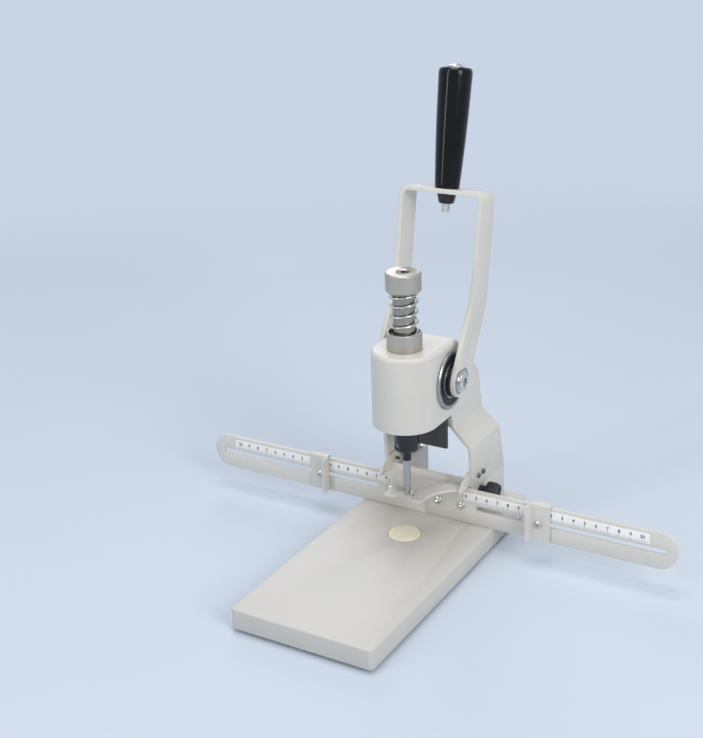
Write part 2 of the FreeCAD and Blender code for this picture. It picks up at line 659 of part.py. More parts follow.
# Head casting with its two flared legs, and the rails that the legs stand on
def head_frame():
    nose_y = drill_y
    rear_y = fence_y + dim.head_heel_y
    low = pivot_z - dim.head_heel_z
    plan = [
        (-half_head, nose_y, half_head), (0, nose_y - half_head, half_head), (half_head, nose_y, None),
        (half_head, rear_y, None), (-half_head, rear_y, None),
    ]
    tall = prism("head_plan", "XY", plan, low, head_top)
    nose_low = pivot_z - dim.head_bottom
    front = nose_y - half_head - 1
    side = [
        (front, nose_low, None), (fence_y + dim.cusp_y, nose_low, None),
        (fence_y + dim.cusp_y + 2, pivot_z - dim.cusp_z - 6, None),
        (fence_y + dim.cusp_y + 3.5, low, None), (rear_y, low, None),
        (fence_y + dim.head_back_y, pivot_z - dim.head_back_z, None),
        (fence_y + dim.head_crown_rear, head_top, None), (front, head_top, None),
    ]
    shell = common("head_block", tall, prism("head_side", "YZ", side, -half_head - 1, half_head + 1))
    shell = rounded("head_round", shell, dim.head_edge, top_rim)
    wall = dim.head_wall
    slope_drop = wall * math.sqrt(2)
    hollow_front = fence_y + dim.hollow_front
    crown = fence_y + dim.head_crown_rear
    hollow = [
        (hollow_front, low - 1, None), (rear_y - wall, low - 1, None),
        (fence_y + dim.head_back_y - wall, pivot_z - dim.head_back_z - wall / 2, None),
        (hollow_front, head_top - slope_drop - (hollow_front - crown), None),
    ]
    room = prism("head_hollow", "YZ", hollow, wall - half_head, half_head - wall)
    bore = rod("quill_bore", dim.bore_dia / 2, dim.head_top + dim.head_bottom + 2, zero, drill_y,
               nose_low - 1)
    chamber = rod("pinion_chamber", dim.chamber_dia / 2, dim.head_width - 2, 1 - half_head, pivot_y,
                  pivot_z, "X")
    seats = [
        rod("bearing_seat_right", dim.bearing_dia / 2 + dim.seat_gap, dim.bearing_seat + 1,
            half_head - dim.bearing_seat, pivot_y, pivot_z, "X"),
        rod("bearing_seat_left", dim.bearing_dia / 2 + dim.seat_gap, dim.bearing_seat + 1,
            dim.bearing_seat - half_head, pivot_y, pivot_z, "-X"),
    ]
    holes = []
    for n, (x, y) in enumerate(leg_screw_places()):
        holes.append(rod("leg_screw_hole_%d" % n, dim.leg_screw_dia / 2 + dim.seat_gap, dim.leg_flange, x, y,
                         board_top + dim.rail_height - 1))
    for side_sign in (-1, 1):
        for n in (0, 1):
            holes.append(rod("ear_hole_%d_%d" % (side_sign, n), dim.tray_screw_dia / 2 + dim.seat_gap,
                             dim.leg_thick + 2, side_sign * (half_span + 1),
                             fence_y + dim.tray_screw_y + n * dim.tray_screw_step,
                             board_top + dim.tray_screw_z, "-X" if side_sign > 0 else "X"))
    bored = cut("head_bored", shell, room, bore, chamber, *seats)
    legs = [leg(side_sign) for side_sign in (-1, 1)]
    keep(cut("head_frame", fuse("head_and_legs", bored, *legs), *holes))


def top_rim(edge):
    box = edge.BoundBox
    flat = abs(box.ZMin - head_top.value) < 0.01
    back = box.YMin > fence_y.value + dim.head_crown_rear.value - 0.01
    return flat and not back


def leg(side):
    thick = dim.leg_thick
    foot = board_top + dim.rail_height
    shoulder = pivot_z - dim.leg_shoulder_z
    knee = pivot_z - dim.leg_knee_z
    top = pivot_z - dim.cusp_z
    section = [
        (half_head, top), (half_head, shoulder), (half_span, knee), (half_span, foot), (rail_inner, foot),
        (rail_inner, foot + thick), (half_span - thick, foot + thick), (half_span - thick, knee - thick / 3),
        (half_head - thick, shoulder - thick / 3), (half_head - thick, top),
    ]
    outline = [(side * x, z, None) for x, z in section]
    name = side_names[side]
    strip = prism("leg_strip_" + name, "XZ", outline, fence_y + dim.cusp_y - 1,
                  fence_y + dim.leg_toe_rear + 1)
    flank = [
        (fence_y + dim.cusp_y, top + 1, None), (fence_y + dim.cusp_y + 2, top - 6, None),
        (fence_y + dim.leg_knee_front, knee, None), (fence_y + dim.leg_toe_front, foot - 1, None),
        (fence_y + dim.leg_toe_rear, foot - 1, None), (fence_y + dim.leg_knee_rear, knee, None),
        (fence_y + dim.head_heel_y, shoulder, None), (fence_y + dim.head_heel_y, top + 1, None),
    ]
    side_view = prism("leg_side_" + name, "YZ", flank, -half_span - 1, half_span + 1)
    return common("leg_" + name, strip, side_view)


def leg_screw_places():
    middle = (rail_inner + half_span - dim.leg_thick) / 2
    front = fence_y + dim.leg_screw_y
    return [(side * middle, front + step) for side in (-1, 1) for step in (zero, dim.leg_screw_step)]


def side_rail(side):
    xs = either_side(side, rail_inner, half_span)
    bar = block("rail_bar_" + side_names[side], xs, (fence_y + dim.leg_toe_front, fence_y + dim.leg_toe_rear),
                (board_top, board_top + dim.rail_height))
    tools = []
    for n, (x, y) in enumerate(rail_bolt_places()):
        if x.value * side > 0:
            tools.append(rod("rail_bolt_hole_%d" % n, dim.rail_bolt_dia / 2 + dim.seat_gap,
                             dim.rail_bolt_bite + dim.slide_gap + 1, x, y, board_top - 1))
    for n, (x, y) in enumerate(leg_screw_places()):
        if x.value * side > 0:
            depth = dim.leg_screw_bite + dim.slide_gap
            tools.append(rod("rail_screw_hole_%d" % n, dim.leg_screw_dia / 2 + dim.seat_gap, depth + 1, x, y,
                             board_top + dim.rail_height - depth))
    if side > 0:
        tools.append(rod("stud_hole", dim.knob_stud_dia / 2 + dim.running_fit, dim.leg_flange + 2,
                         rail_inner - 1,
                         fence_y + dim.knob_y, board_top + dim.knob_z, "X"))
    keep(cut("side_rail_" + side_names[side], bar, *tools))


def frame_fasteners():
    bolts = []
    for n, (x, y) in enumerate(rail_bolt_places()):
        seat = dim.foot_height + dim.rail_bolt_head
        head = rod("rail_bolt_head_%d" % n, dim.rail_bolt_head_dia / 2, dim.rail_bolt_head, x, y,
                   dim.foot_height)
        shank = rod("rail_bolt_shank_%d" % n, dim.rail_bolt_dia / 2,
                    board_top - seat + dim.rail_bolt_bite, x, y, seat)
        socket = hexagon("rail_bolt_socket_%d" % n, dim.arm_socket, dim.rail_bolt_head / 2 + 1, x, y,
                         dim.foot_height - 1)
        bolts.append(cut("rail_bolt_%d" % n, fuse("rail_bolt_blank_%d" % n, head, shank), socket))
    keep(group("rail_bolts", bolts))
    screws = []
    for n, (x, y) in enumerate(leg_screw_places()):
        seat = board_top + dim.rail_height + dim.leg_thick
        head = rod("leg_screw_head_%d" % n, dim.leg_screw_head_dia / 2, dim.leg_screw_head, x, y, seat)
        shank = rod("leg_screw_shank_%d" % n, dim.leg_screw_dia / 2, dim.leg_thick + dim.leg_screw_bite, x, y,
                    board_top + dim.rail_height - dim.leg_screw_bite)
        screws.append(fuse("leg_screw_%d" % n, head, shank))
    keep(group("leg_screws", screws))


def rear_guard():
    half = dim.guard_width / 2
    low = pivot_z - dim.guard_bottom
    high = pivot_z - dim.head_bottom
    arch = dim.guard_arch
    outline = [
        (-half, low, None), (half, low, None), (half, high - 1 - arch, -arch),
        (half + arch, high - 1, None), (half + arch, high, None),
        (-half - arch, high, None), (-half - arch, high - 1, -arch), (-half, high - 1 - arch, None),
    ]
    front = fence_y + dim.guard_back
    hollow = half_head - 0.5
    keep(common("rear_guard", prism("guard_sheet", "XZ", outline, front, front + dim.guard_thick),
                block("guard_limit", (-hollow, hollow), (front - 1, front + dim.guard_thick + 1),
                      (low - 1, high))))


# Tray that holds the paper down: a bent sheet with two wings, a rear lip and an ear against each leg
def guide_tray():
    low = board_top + dim.tray_rise
    high = low + dim.tray_thick
    ear_outer = half_span - dim.leg_thick - dim.seat_gap
    front = fence_y + dim.tray_front
    shoulder = fence_y + dim.tray_shoulder
    rear = fence_y + dim.tray_rear
    notch = dim.tray_notch
    reach = dim.wing_reach
    right = [(notch, front, None), (reach, front, -dim.wing_curve), (ear_outer, shoulder, None),
             (ear_outer, rear, None)]
    left = [(-ear_outer, rear, None), (-ear_outer, shoulder, -dim.wing_curve), (-reach, front, None),
            (-notch, front, None)]
    bay = [(-notch, drill_y, -notch), (zero, drill_y + notch, -notch), (notch, drill_y, None)]
    sheet_piece = prism("tray_sheet", "XY", right + left + bay, low, high)
    lip = block("tray_lip", (dim.tray_thick - ear_outer, ear_outer - dim.tray_thick),
                (rear - dim.tray_thick, rear), (low, high + dim.tray_lip))
    ears = []
    for side in (-1, 1):
        name = side_names[side]
        ear = [
            (fence_y + dim.ear_front, low, None), (fence_y + dim.ear_rear, low, None),
            (fence_y + dim.ear_rear, board_top + dim.ear_top, None),
            (fence_y + dim.ear_peak_y, board_top + dim.ear_top, dim.ear_curve),
            (fence_y + dim.ear_front, high, None),
        ]
        xs = either_side(side, ear_outer - dim.tray_thick, ear_outer)
        plate = prism("tray_ear_" + name, "YZ", ear, xs[0], xs[1])
        ears.append(plate)
    whole = fuse("tray_blank", sheet_piece, lip, *ears)
    holes = []
    for side in (-1, 1):
        for n in (0, 1):
            holes.append(rod("tray_hole_%d_%d" % (side, n), dim.tray_screw_dia / 2 + dim.seat_gap,
                             dim.tray_thick + 2, side * (ear_outer + 1),
                             fence_y + dim.tray_screw_y + n * dim.tray_screw_step,
                             board_top + dim.tray_screw_z, "-X" if side > 0 else "X"))
    keep(cut("guide_tray", whole, *holes))
    screws = []
    for side in (-1, 1):
        for n in (0, 1):
            y = fence_y + dim.tray_screw_y + n * dim.tray_screw_step
            z = board_top + dim.tray_screw_z
            axis = "X" if side > 0 else "-X"
            head = rod("tray_screw_head_%d_%d" % (side, n), dim.tray_screw_head_dia / 2, dim.tray_screw_head,
                       side * half_span, y, z, axis)
            start = half_span - dim.leg_thick - dim.tray_thick - 1.5
            shank = rod("tray_screw_shank_%d_%d" % (side, n), dim.tray_screw_dia / 2, half_span - start,
                        side * start, y, z, axis)
            socket = hexagon("tray_screw_socket_%d_%d" % (side, n), dim.tray_screw_dia / 2 * 1.6,
                             dim.tray_screw_head, side * (half_span + 0.8), y, z, axis)
            screws.append(cut("tray_screw_%d_%d" % (side, n),
                              fuse("tray_screw_blank_%d_%d" % (side, n), head, shank), socket))
    keep(group("tray_screws", screws))


# Two sealed ball bearings in the head
def bearings():
    outer = []
    inner = []
    seals = []
    balls = []
    outer_radius = dim.bearing_dia / 2
    inner_radius = dim.bearing_bore / 2
    outer_land = outer_radius - dim.outer_ring_wall
    inner_land = inner_radius + dim.inner_ring_wall
    track = (outer_land + inner_land) / 2
    groove = dim.ball_dia / 2 + dim.groove_play
    width = dim.bearing_width
    for side in (-1, 1):
        name = side_names[side]
        axis = "X" if side > 0 else "-X"
        start = side * (half_head - dim.bearing_seat)
        ring = turned_piece("outer_ring_" + name, start, pivot_y, pivot_z, [
            (outer_land, 0, None), (outer_radius - 0.8, 0, None), (outer_radius, 0.8, None),
            (outer_radius, width - 0.8, None), (outer_radius - 0.8, width, None), (outer_land, width,
                                                                                   None)], axis)
        hub = turned_piece("inner_ring_" + name, start, pivot_y, pivot_z, [
            (inner_radius, 0, None), (inner_land, 0, None), (inner_land, width, None), (inner_radius,
                                                                                        width, None)],
            axis)
        race = doc.addObject("Part::Torus", "race_" + name)
        bind(race, "Radius1", track)
        bind(race, "Radius2", groove)
        race.Placement = Placement(Vector(), turn_to[axis])
        put(race, start + side * width / 2, pivot_y, pivot_z)
        outer.append(cut("grooved_outer_" + name, ring, race))
        inner.append(cut("grooved_inner_" + name, hub, race))
        for n, level in enumerate((dim.seal_recess, width - dim.seal_recess - dim.seal_thick)):
            seals.append(turned_piece("seal_%s_%d" % (name, n), start, pivot_y, pivot_z, [
                (inner_land + dim.slide_gap, level, None), (outer_land, level, None),
                (outer_land, level + dim.seal_thick, None),
                (inner_land + dim.slide_gap, level + dim.seal_thick, None)], axis))
        for n in range(int(dim.ball_count.value)):
            ball = doc.addObject("Part::Sphere", "ball_%s_%d" % (name, n))
            bind(ball, "Radius", dim.ball_dia / 2)
            turn = as_size(n) * 360 / dim.ball_count
            put(ball, start + side * width / 2, pivot_y + track * cosine(turn), pivot_z + track * sine(turn))
            balls.append(ball)
    keep(group("bearing_outer_rings", outer))
    keep(group("bearing_inner_rings", inner))
    keep(group("bearing_seals", seals))
    keep(group("bearing_balls", balls))


# Cup on the head for the return spring, and the plain bush at the bottom of the bore
def quill_guides():
    outside = dim.cup_dia / 2
    inside = dim.cup_bore / 2
    spigot = dim.bore_dia / 2 - dim.seat_gap
    running = dim.column_dia / 2 + dim.running_fit
    edge = dim.cup_chamfer
    height = dim.cup_height
    keep(turned("spring_cup", zero, drill_y, head_top, [
        (running, -dim.cup_spigot, None), (spigot, -dim.cup_spigot, None), (spigot, 0, None),
        (outside - edge / 2, 0, None), (outside, edge / 2, None), (outside, height - edge, None),
        (outside - edge, height, None), (inside + edge / 2, height, None), (inside, height - edge / 2, None),
        (inside, dim.cup_floor, None), (running, dim.cup_floor, None)]))
    flange = dim.bush_flange
    keep(turned("lower_bush", zero, drill_y, pivot_z - dim.head_bottom, [
        (running, -flange, None), (dim.bush_flange_dia / 2, -flange, None), (dim.bush_flange_dia / 2, 0,
                                                                             None),
        (spigot, 0, None), (spigot, dim.bush_length, None), (running, dim.bush_length, None)]))


# Pinion, its shaft and key
def involute(radius, base):
    ratio = max(radius / base, 1.0)
    angle = math.acos(1 / ratio)
    return math.tan(angle) - angle


def pinion_blank():
    teeth = int(dim.gear_teeth.value)
    module = dim.gear_module.value
    pitch = pitch_radius.value
    base = pitch * math.cos(math.radians(dim.pressure_angle.value))
    tip = pitch + module
    root = pitch - 1.25 * module
    half_tooth = (math.pi * module / 2 - dim.gear_backlash.value / 2) / (2 * pitch)

    def flank(radius, hand, tooth):
        away = half_tooth + involute(pitch, base) - involute(radius, base)
        turn = 2 * math.pi * tooth / teeth + math.pi + hand * away
        return Vector(-dim.gear_width.value / 2, radius * math.cos(turn), radius * math.sin(turn))

    edges = []
    middle = (base + tip) / 2
    for tooth in range(teeth):
        foot, low, mid, top = [flank(r, -1, tooth) for r in (root, base, middle, tip)]
        foot_far, low_far, mid_far, top_far = [flank(r, 1, tooth) for r in (root, base, middle, tip)]
        following = flank(root, -1, tooth + 1)
        edges.append(Part.LineSegment(foot, low).toShape())
        edges.append(Part.Arc(low, mid, top).toShape())
        edges.append(Part.LineSegment(top, top_far).toShape())
        edges.append(Part.Arc(top_far, mid_far, low_far).toShape())
        edges.append(Part.LineSegment(low_far, foot_far).toShape())
        edges.append(Part.LineSegment(foot_far, following).toShape())
    face = Part.Face(Part.Wire(edges))
    item = doc.addObject("Part::Feature", "pinion_blank")
    item.Shape = face.extrude(Vector(dim.gear_width.value, 0, 0))
    put(item, zero, pivot_y, pivot_z)
    return item


def key_block(name, play):
    half = dim.key_width / 2 + play
    seat = dim.bearing_bore / 2 + dim.shaft_step
    return block(name, (-dim.key_length / 2 - play, dim.key_length / 2 + play),
                 (pivot_y - half, pivot_y + half),
                 (pivot_z + seat - dim.key_height / 2 - play, pivot_z + seat + dim.key_height / 2 + play))


def drive_shaft():
    bearing_radius = dim.bearing_bore / 2 - dim.seat_gap
    body_radius = dim.bearing_bore / 2 + dim.shaft_step
    inner_face = half_head - dim.bearing_seat
    outer_face = inner_face + dim.bearing_width
    end = dim.yoke_span / 2
    spacer_outer = end - dim.yoke_thick
    middle = rod("shaft_middle", body_radius, inner_face * 2, -inner_face, pivot_y, pivot_z, "X")
    journals = rod("shaft_journals", bearing_radius, spacer_outer * 2, -spacer_outer, pivot_y, pivot_z, "X")
    ends = common("shaft_ends", rod("shaft_round", bearing_radius, end * 2, -end, pivot_y, pivot_z, "X"),
                  block("shaft_flats", (-end, end),
                        (pivot_y - bearing_radius - 1, pivot_y + bearing_radius + 1),
                        (pivot_z - dim.yoke_flat, pivot_z + dim.yoke_flat)))
    taps = [rod("shaft_tap_" + side_names[side], dim.arm_screw_dia / 2 + dim.seat_gap,
                dim.arm_screw_bite + dim.slide_gap + 1, side * (end + 1), pivot_y, pivot_z,
                "-X" if side > 0 else "X")
            for side in (-1, 1)]
    keep(cut("pivot_shaft", fuse("shaft_blank", middle, journals, ends),
             key_block("key_slot", dim.seat_gap), *taps))
    bore = rod("pinion_bore", body_radius + dim.seat_gap, dim.gear_width + 2, -dim.gear_width / 2 - 1,
               pivot_y,
               pivot_z, "X")
    keep(cut("pinion", pinion_blank(), bore, key_block("pinion_keyway", dim.seat_gap)))
    key = key_block("pinion_key", zero)
    keep(key)
    spacers = []
    for side in (-1, 1):
        ring = rod("spacer_ring_" + side_names[side], dim.spacer_dia / 2, spacer_outer - outer_face,
                   side * outer_face, pivot_y, pivot_z, "X" if side > 0 else "-X")
        hole = rod("spacer_hole_" + side_names[side], bearing_radius + dim.seat_gap, spacer_outer,
                   side * (outer_face - 1), pivot_y, pivot_z, "X" if side > 0 else "-X")
        spacers.append(cut("spacer_" + side_names[side], ring, hole))
    keep(group("shaft_spacers", spacers))


# Lever: a flat bar bent to a yoke, screwed to both ends of the shaft
def along_lean(distance, aside=0):
    y = pivot_y + dim.yoke_bend_y + distance * sine(dim.yoke_tilt) + aside * cosine(dim.yoke_tilt)
    z = pivot_z + dim.yoke_bend_z + distance * cosine(dim.yoke_tilt) - aside * sine(dim.yoke_tilt)
    return y, z


def lever_yoke():
    reach = hypotenuse(dim.yoke_bend_y, dim.yoke_bend_z)
    lean_cos = dim.yoke_bend_z / reach
    lean_sin = dim.yoke_bend_y / reach
    eye = dim.yoke_eye
    half_low = dim.yoke_lower_width / 2
    half_high = dim.yoke_upper_width / 2
    blend = dim.yoke_blend

    def lower(distance, aside):
        return (pivot_y + distance * lean_sin + aside * lean_cos,
                pivot_z + distance * lean_cos - aside * lean_sin)

    front_low = lower(reach - blend, -half_low)
    rear_low = lower(reach - blend, half_low)
    front_high = along_lean(blend, -half_high)
    rear_high = along_lean(blend, half_high)
    top_front = along_lean(dim.yoke_rise + 1, -half_high)
    top_rear = along_lean(dim.yoke_rise + 1, half_high)
    eye_front = lower(zero, -eye)
    eye_low = lower(-eye, zero)
    eye_rear = lower(zero, eye)
    bend = dim.yoke_bend_radius
    flank = [
        (eye_front[0], eye_front[1], eye), (eye_low[0], eye_low[1], eye), (eye_rear[0], eye_rear[1], None),
        (rear_low[0], rear_low[1], bend), (rear_high[0], rear_high[1], None), (top_rear[0], top_rear[1],
                                                                               None),
        (top_front[0], top_front[1], None), (front_high[0], front_high[1], -(bend + dim.yoke_upper_width)),
        (front_low[0], front_low[1], None),
    ]
    half = dim.yoke_span / 2
    side_view = prism("yoke_side", "YZ", flank, -half - 1, half + 1)
    band = yoke_band(half)
    tools = []
    for side in (-1, 1):
        name = side_names[side]
        hole = common("yoke_hole_" + name,
                      rod("yoke_round_" + name, dim.bearing_bore / 2, dim.yoke_thick + 2,
                          side * (half - dim.yoke_thick - 1), pivot_y, pivot_z, "X" if side > 0 else "-X"),
                      block("yoke_flats_" + name, either_side(side, half - dim.yoke_thick - 1, half + 1),
                            (pivot_y - eye, pivot_y + eye),
                            (pivot_z - dim.yoke_flat - dim.seat_gap, pivot_z + dim.yoke_flat + dim.seat_gap)))
        tools.append(hole)
    foot_y, foot_z = along_lean(dim.yoke_rise - dim.yoke_thick - 2)
    stud_hole = rod("yoke_stud_hole", dim.stud_dia / 2 + dim.seat_gap, dim.yoke_thick + 5, zero, foot_y,
                    foot_z)
    lean_part(stud_hole)
    keep(cut("lever_yoke", common("yoke_blank", side_view, band), stud_hole, *tools))


def lean_part(item):
    base = item.Placement.Base
    item.Placement = Placement(base, Rotation(Vector(-1, 0, 0), dim.yoke_tilt.value))
    bind(item, "Placement.Rotation.Angle", dim.yoke_tilt)


def yoke_band(half):
    thick = dim.yoke_thick
    corner = dim.yoke_corner
    inner = corner - thick
    top = dim.yoke_rise
    low = -hypotenuse(dim.yoke_bend_y, dim.yoke_bend_z) - dim.yoke_eye * 2
    outline = [
        (-half, low, None), (thick - half, low, None), (thick - half, top - corner, -inner),
        (corner - half, top - thick, None), (half - corner, top - thick, -inner), (half - thick,
                                                                                   top - corner, None),
        (half - thick, low, None), (half, low, None), (half, top - corner, corner), (half - corner, top,
                                                                                     None),
        (corner - half, top, corner), (-half, top - corner, None),
    ]
    sketch = doc.addObject("Sketcher::SketchObject", "yoke_front_outline")
    sketch.Placement = Placement(Vector(), Rotation(Vector(1, 0, 0), 90.0 - dim.yoke_tilt.value))
    y, z = along_lean(zero)
    put(sketch, zero, y, z)
    sketch.setExpression("Placement.Rotation.Angle", "90 - Sizes.yoke_tilt")
    draw(sketch, outline)
    item = doc.addObject("Part::Extrusion", "yoke_front")
    item.Base = sketch
    item.DirMode = "Normal"
    bind(item, "LengthFwd", -low)
    bind(item, "LengthRev", -low)
    item.Solid = True
    return item


def lever_fasteners():
    end = dim.yoke_span / 2
    washers = []
    screws = []
    for side in (-1, 1):
        name = side_names[side]
        axis = "X" if side > 0 else "-X"
        disc = rod("washer_disc_" + name, dim.arm_washer_dia / 2, dim.arm_washer, side * end, pivot_y,
                   pivot_z, axis)
        hole = rod("washer_hole_" + name, dim.arm_screw_dia / 2 + dim.slide_gap, dim.arm_washer + 2,
                   side * (end - 1), pivot_y, pivot_z, axis)
        washers.append(cut("washer_" + name, disc, hole))
        seat = end + dim.arm_washer
        head = rod("arm_head_" + name, dim.arm_screw_head_dia / 2, dim.arm_screw_head, side * seat,
                   pivot_y, pivot_z,
                   axis)
        shank = rod("arm_shank_" + name, dim.arm_screw_dia / 2, dim.arm_screw_bite + dim.arm_washer,
                    side * (end - dim.arm_screw_bite), pivot_y, pivot_z, axis)
        socket = hexagon("arm_socket_" + name, dim.arm_socket, dim.arm_screw_head,
                         side * (seat + dim.arm_screw_head / 3), pivot_y, pivot_z, axis)
        screws.append(cut("arm_screw_" + name, fuse("arm_screw_blank_" + name, head, shank), socket))
    keep(group("arm_washers", washers))
    keep(group("arm_screws", screws))


# Handle: stud through the yoke, grip and cap screw above, tapered nut below
def handle():
    lean = dim.yoke_tilt
    seat_y, seat_z = along_lean(dim.yoke_rise)
    under_y, under_z = along_lean(dim.yoke_rise - dim.yoke_thick)
    stud = dim.stud_dia / 2
    drop = dim.stud_drop + dim.yoke_thick
    nut_low = dim.yoke_thick + dim.nut_height
    keep(turned("handle_stud", zero, seat_y, seat_z, [
        (0, -drop, None), (dim.stud_end_dia / 2, -drop, None), (dim.stud_end_dia / 2, 0.5 - nut_low, None),
        (stud, 1.5 - nut_low, None), (stud, dim.stud_rise, None), (0, dim.stud_rise, None)], lean))
    foot = dim.grip_foot_dia / 2
    top = dim.grip_head_dia / 2
    bore = stud + dim.seat_gap
    length = dim.grip_length
    edge = dim.grip_round
    cap_bore = dim.grip_cap_dia / 2 * 0.6
    keep(turned("handle_grip", zero, seat_y, seat_z, [
        (bore, 0, None), (foot - 1, 0, None), (foot, 1, None), (top, length - edge, edge),
        (top - edge, length, None), (cap_bore, length, None), (cap_bore, dim.stud_rise + 6, None),
        (bore, dim.stud_rise + 6, None)], lean))
    cap_radius = dim.grip_cap_dia / 2
    keep(turned("grip_cap_screw", zero, seat_y, seat_z, [
        (0, dim.stud_rise + 7, None), (cap_bore - dim.seat_gap, dim.stud_rise + 7, None),
        (cap_bore - dim.seat_gap, length, None), (cap_radius, length, None), (cap_radius, length + 1, None),
        (cap_radius - 2, length + dim.grip_cap, None), (0, length + dim.grip_cap, None)], lean))
    nut_top = dim.nut_dia / 2
    nut_foot = dim.nut_foot_dia / 2
    keep(turned("handle_nut", zero, under_y, under_z, [
        (stud + dim.seat_gap, -dim.nut_height + 1.5, None), (nut_foot - 1, -dim.nut_height, None),
        (nut_foot, 1 - dim.nut_height, None), (nut_top, -1, None), (nut_top, 0, None),
        (stud + dim.seat_gap, 0, None)], lean))


# Quill: column with rack teeth, cap on top, chuck and hollow drill below
def rack_column():
    seat_in_chuck = pivot_z - dim.chuck_top - dim.column_seat
    top = cap_bottom + dim.cap_socket
    radius = dim.column_dia / 2
    body = turned("column_bar", zero, drill_y, seat_in_chuck, [
        (0, 0, None), (radius - 1, 0, None), (radius, 1, None), (radius, top - seat_in_chuck - 1, None),
        (radius - 1, top - seat_in_chuck, None), (0, top - seat_in_chuck, None)])
    tools = [rod("cap_screw_tap", dim.cap_screw_dia / 2 + dim.seat_gap,
                 dim.cap_screw_bite + dim.slide_gap + 1,
                 zero, drill_y, top - dim.cap_screw_bite - dim.slide_gap)]
    keep(cut("rack_column", body, rack_spaces(), *tools))


def rack_spaces():
    module = dim.gear_module.value
    pitch_line = dim.rack_offset.value
    slope = math.tan(math.radians(dim.pressure_angle.value))
    root = pitch_line - 1.25 * module
    outer = dim.column_dia.value / 2 + 1
    at_pitch = (math.pi * module / 2 + dim.gear_backlash.value / 2) / 2
    at_root = at_pitch - (pitch_line - root) * slope
    at_outer = at_pitch + (outer - pitch_line) * slope
    long_half = dim.column_dia.value
    solids = []
    for n in range(-int(dim.rack_below.value), int(dim.rack_above.value) + 1):
        z = n * math.pi * module
        corners = [Vector(-long_half, root, z - at_root), Vector(-long_half, outer, z - at_outer),
                   Vector(-long_half, outer, z + at_outer), Vector(-long_half, root, z + at_root)]
        face = Part.Face(Part.makePolygon(corners + corners[:1]))
        solids.append(face.extrude(Vector(2 * long_half, 0, 0)))
    item = doc.addObject("Part::Feature", "rack_spaces")
    item.Shape = Part.makeCompound(solids)
    put(item, zero, drill_y, pivot_z)
    return item


def top_cap():
    radius = dim.cap_dia / 2
    height = dim.cap_height
    edge = dim.cup_chamfer
    socket = dim.cap_socket
    screw = dim.cap_screw_dia / 2 + dim.slide_gap
    head = dim.cap_screw_head_dia / 2 + dim.slide_gap
    sink = dim.cap_screw_head + dim.slide_gap
    keep(turned("top_cap", zero, drill_y, cap_bottom, [
        (dim.column_dia / 2 + dim.seat_gap, 0, None), (radius - edge * 2, 0, None), (radius, edge * 2, None),
        (radius, height - edge, None), (radius - edge, height, None), (head, height, None),
        (head, height - sink, None), (screw, height - sink, None), (screw, socket, None),
        (dim.column_dia / 2 + dim.seat_gap, socket, None)]))
    seat = cap_bottom + dim.cap_height - sink
    column_top = cap_bottom + dim.cap_socket
    blank = fuse("cap_screw_blank",
                 rod("cap_screw_head", dim.cap_screw_head_dia / 2, dim.cap_screw_head, zero, drill_y, seat),
                 rod("cap_screw_shank", dim.cap_screw_dia / 2, seat - column_top + dim.cap_screw_bite,
                     zero, drill_y,
                     column_top - dim.cap_screw_bite))
    keep(cut("cap_screw", blank, hexagon("cap_screw_hexagon", dim.cap_screw_dia, dim.cap_screw_head, zero,
                                         drill_y, seat + dim.cap_screw_head / 3)))


def chuck():
    low = pivot_z - dim.chuck_bottom
    height = dim.chuck_bottom - dim.chuck_top
    radius = dim.chuck_dia / 2
    edge = dim.chuck_chamfer
    nose = dim.chuck_nose_dia / 2
    shank = dim.bit_dia / 2 + dim.seat_gap
    column = dim.column_dia / 2 + dim.seat_gap
    body = turned("chuck_turned", zero, drill_y, low, [
        (shank, -dim.chuck_nose, None), (nose, -dim.chuck_nose, None), (nose, 0, None), (radius - edge, 0,
                                                                                         None),
        (radius, edge, None), (radius, height - edge / 2, None), (radius - edge / 2, height, None),
        (column, height, None), (column, height - dim.column_seat, None), (shank, height - dim.column_seat,
                                                                           None)])
    turn = dim.set_screw_angle
    screw_z = low + dim.set_screw_rise
    hole = radial_rod("set_screw_hole", dim.set_screw_dia / 2 + dim.seat_gap, dim.bit_dia / 2, radius + 1,
                      turn,
                      screw_z)
    keep(cut("chuck", body, hole))
    screw = radial_rod("set_screw_bar", dim.set_screw_dia / 2, dim.bit_dia / 2 + dim.slide_gap,
                       radius - 1.2, turn,
                       screw_z)
    socket = radial_rod("set_screw_socket", dim.set_screw_dia / 4, radius - 3, radius + 1, turn, screw_z)
    keep(cut("chuck_set_screw", screw, socket))


def radial_rod(name, radius, near, far, turn, z):
    item = doc.addObject("Part::Cylinder", name)
    bind(item, "Radius", radius)
    bind(item, "Height", far - near)
    heading = Rotation(Vector(0, 0, 1), turn.value).multiply(Rotation(Vector(0, 1, 0), 90))
    item.Placement = Placement(Vector(), heading)
    put(item, near * cosine(turn), drill_y + near * sine(turn), z)
    return item


def drill():
    outside = dim.bit_dia / 2
    inside = dim.bit_bore / 2
    tip = pivot_z - dim.bit_tip
    length = dim.bit_tip - dim.chuck_bottom + dim.bit_shank
    keep(turned("drill_bit", zero, drill_y, tip, [
        (outside - 0.15, 0, None), (outside, dim.bit_bevel, None), (outside, length, None), (inside,
                                                                                             length, None),
        (inside, dim.bit_bevel, None)]))
    low = pivot_z - dim.collar_bottom
    height = dim.collar_bottom - dim.chuck_bottom - dim.chuck_nose
    collar = dim.collar_dia / 2
    inner = outside + dim.seat_gap
    keep(turned("bit_collar", zero, drill_y, low, [
        (inner, 0, None), (collar - 0.6, 0, None), (collar, 0.6, None), (collar, height - 1.6, None),
        (collar + 0.7, height - 1.4, None), (collar + 0.7, height, None), (inner, height, None)]))


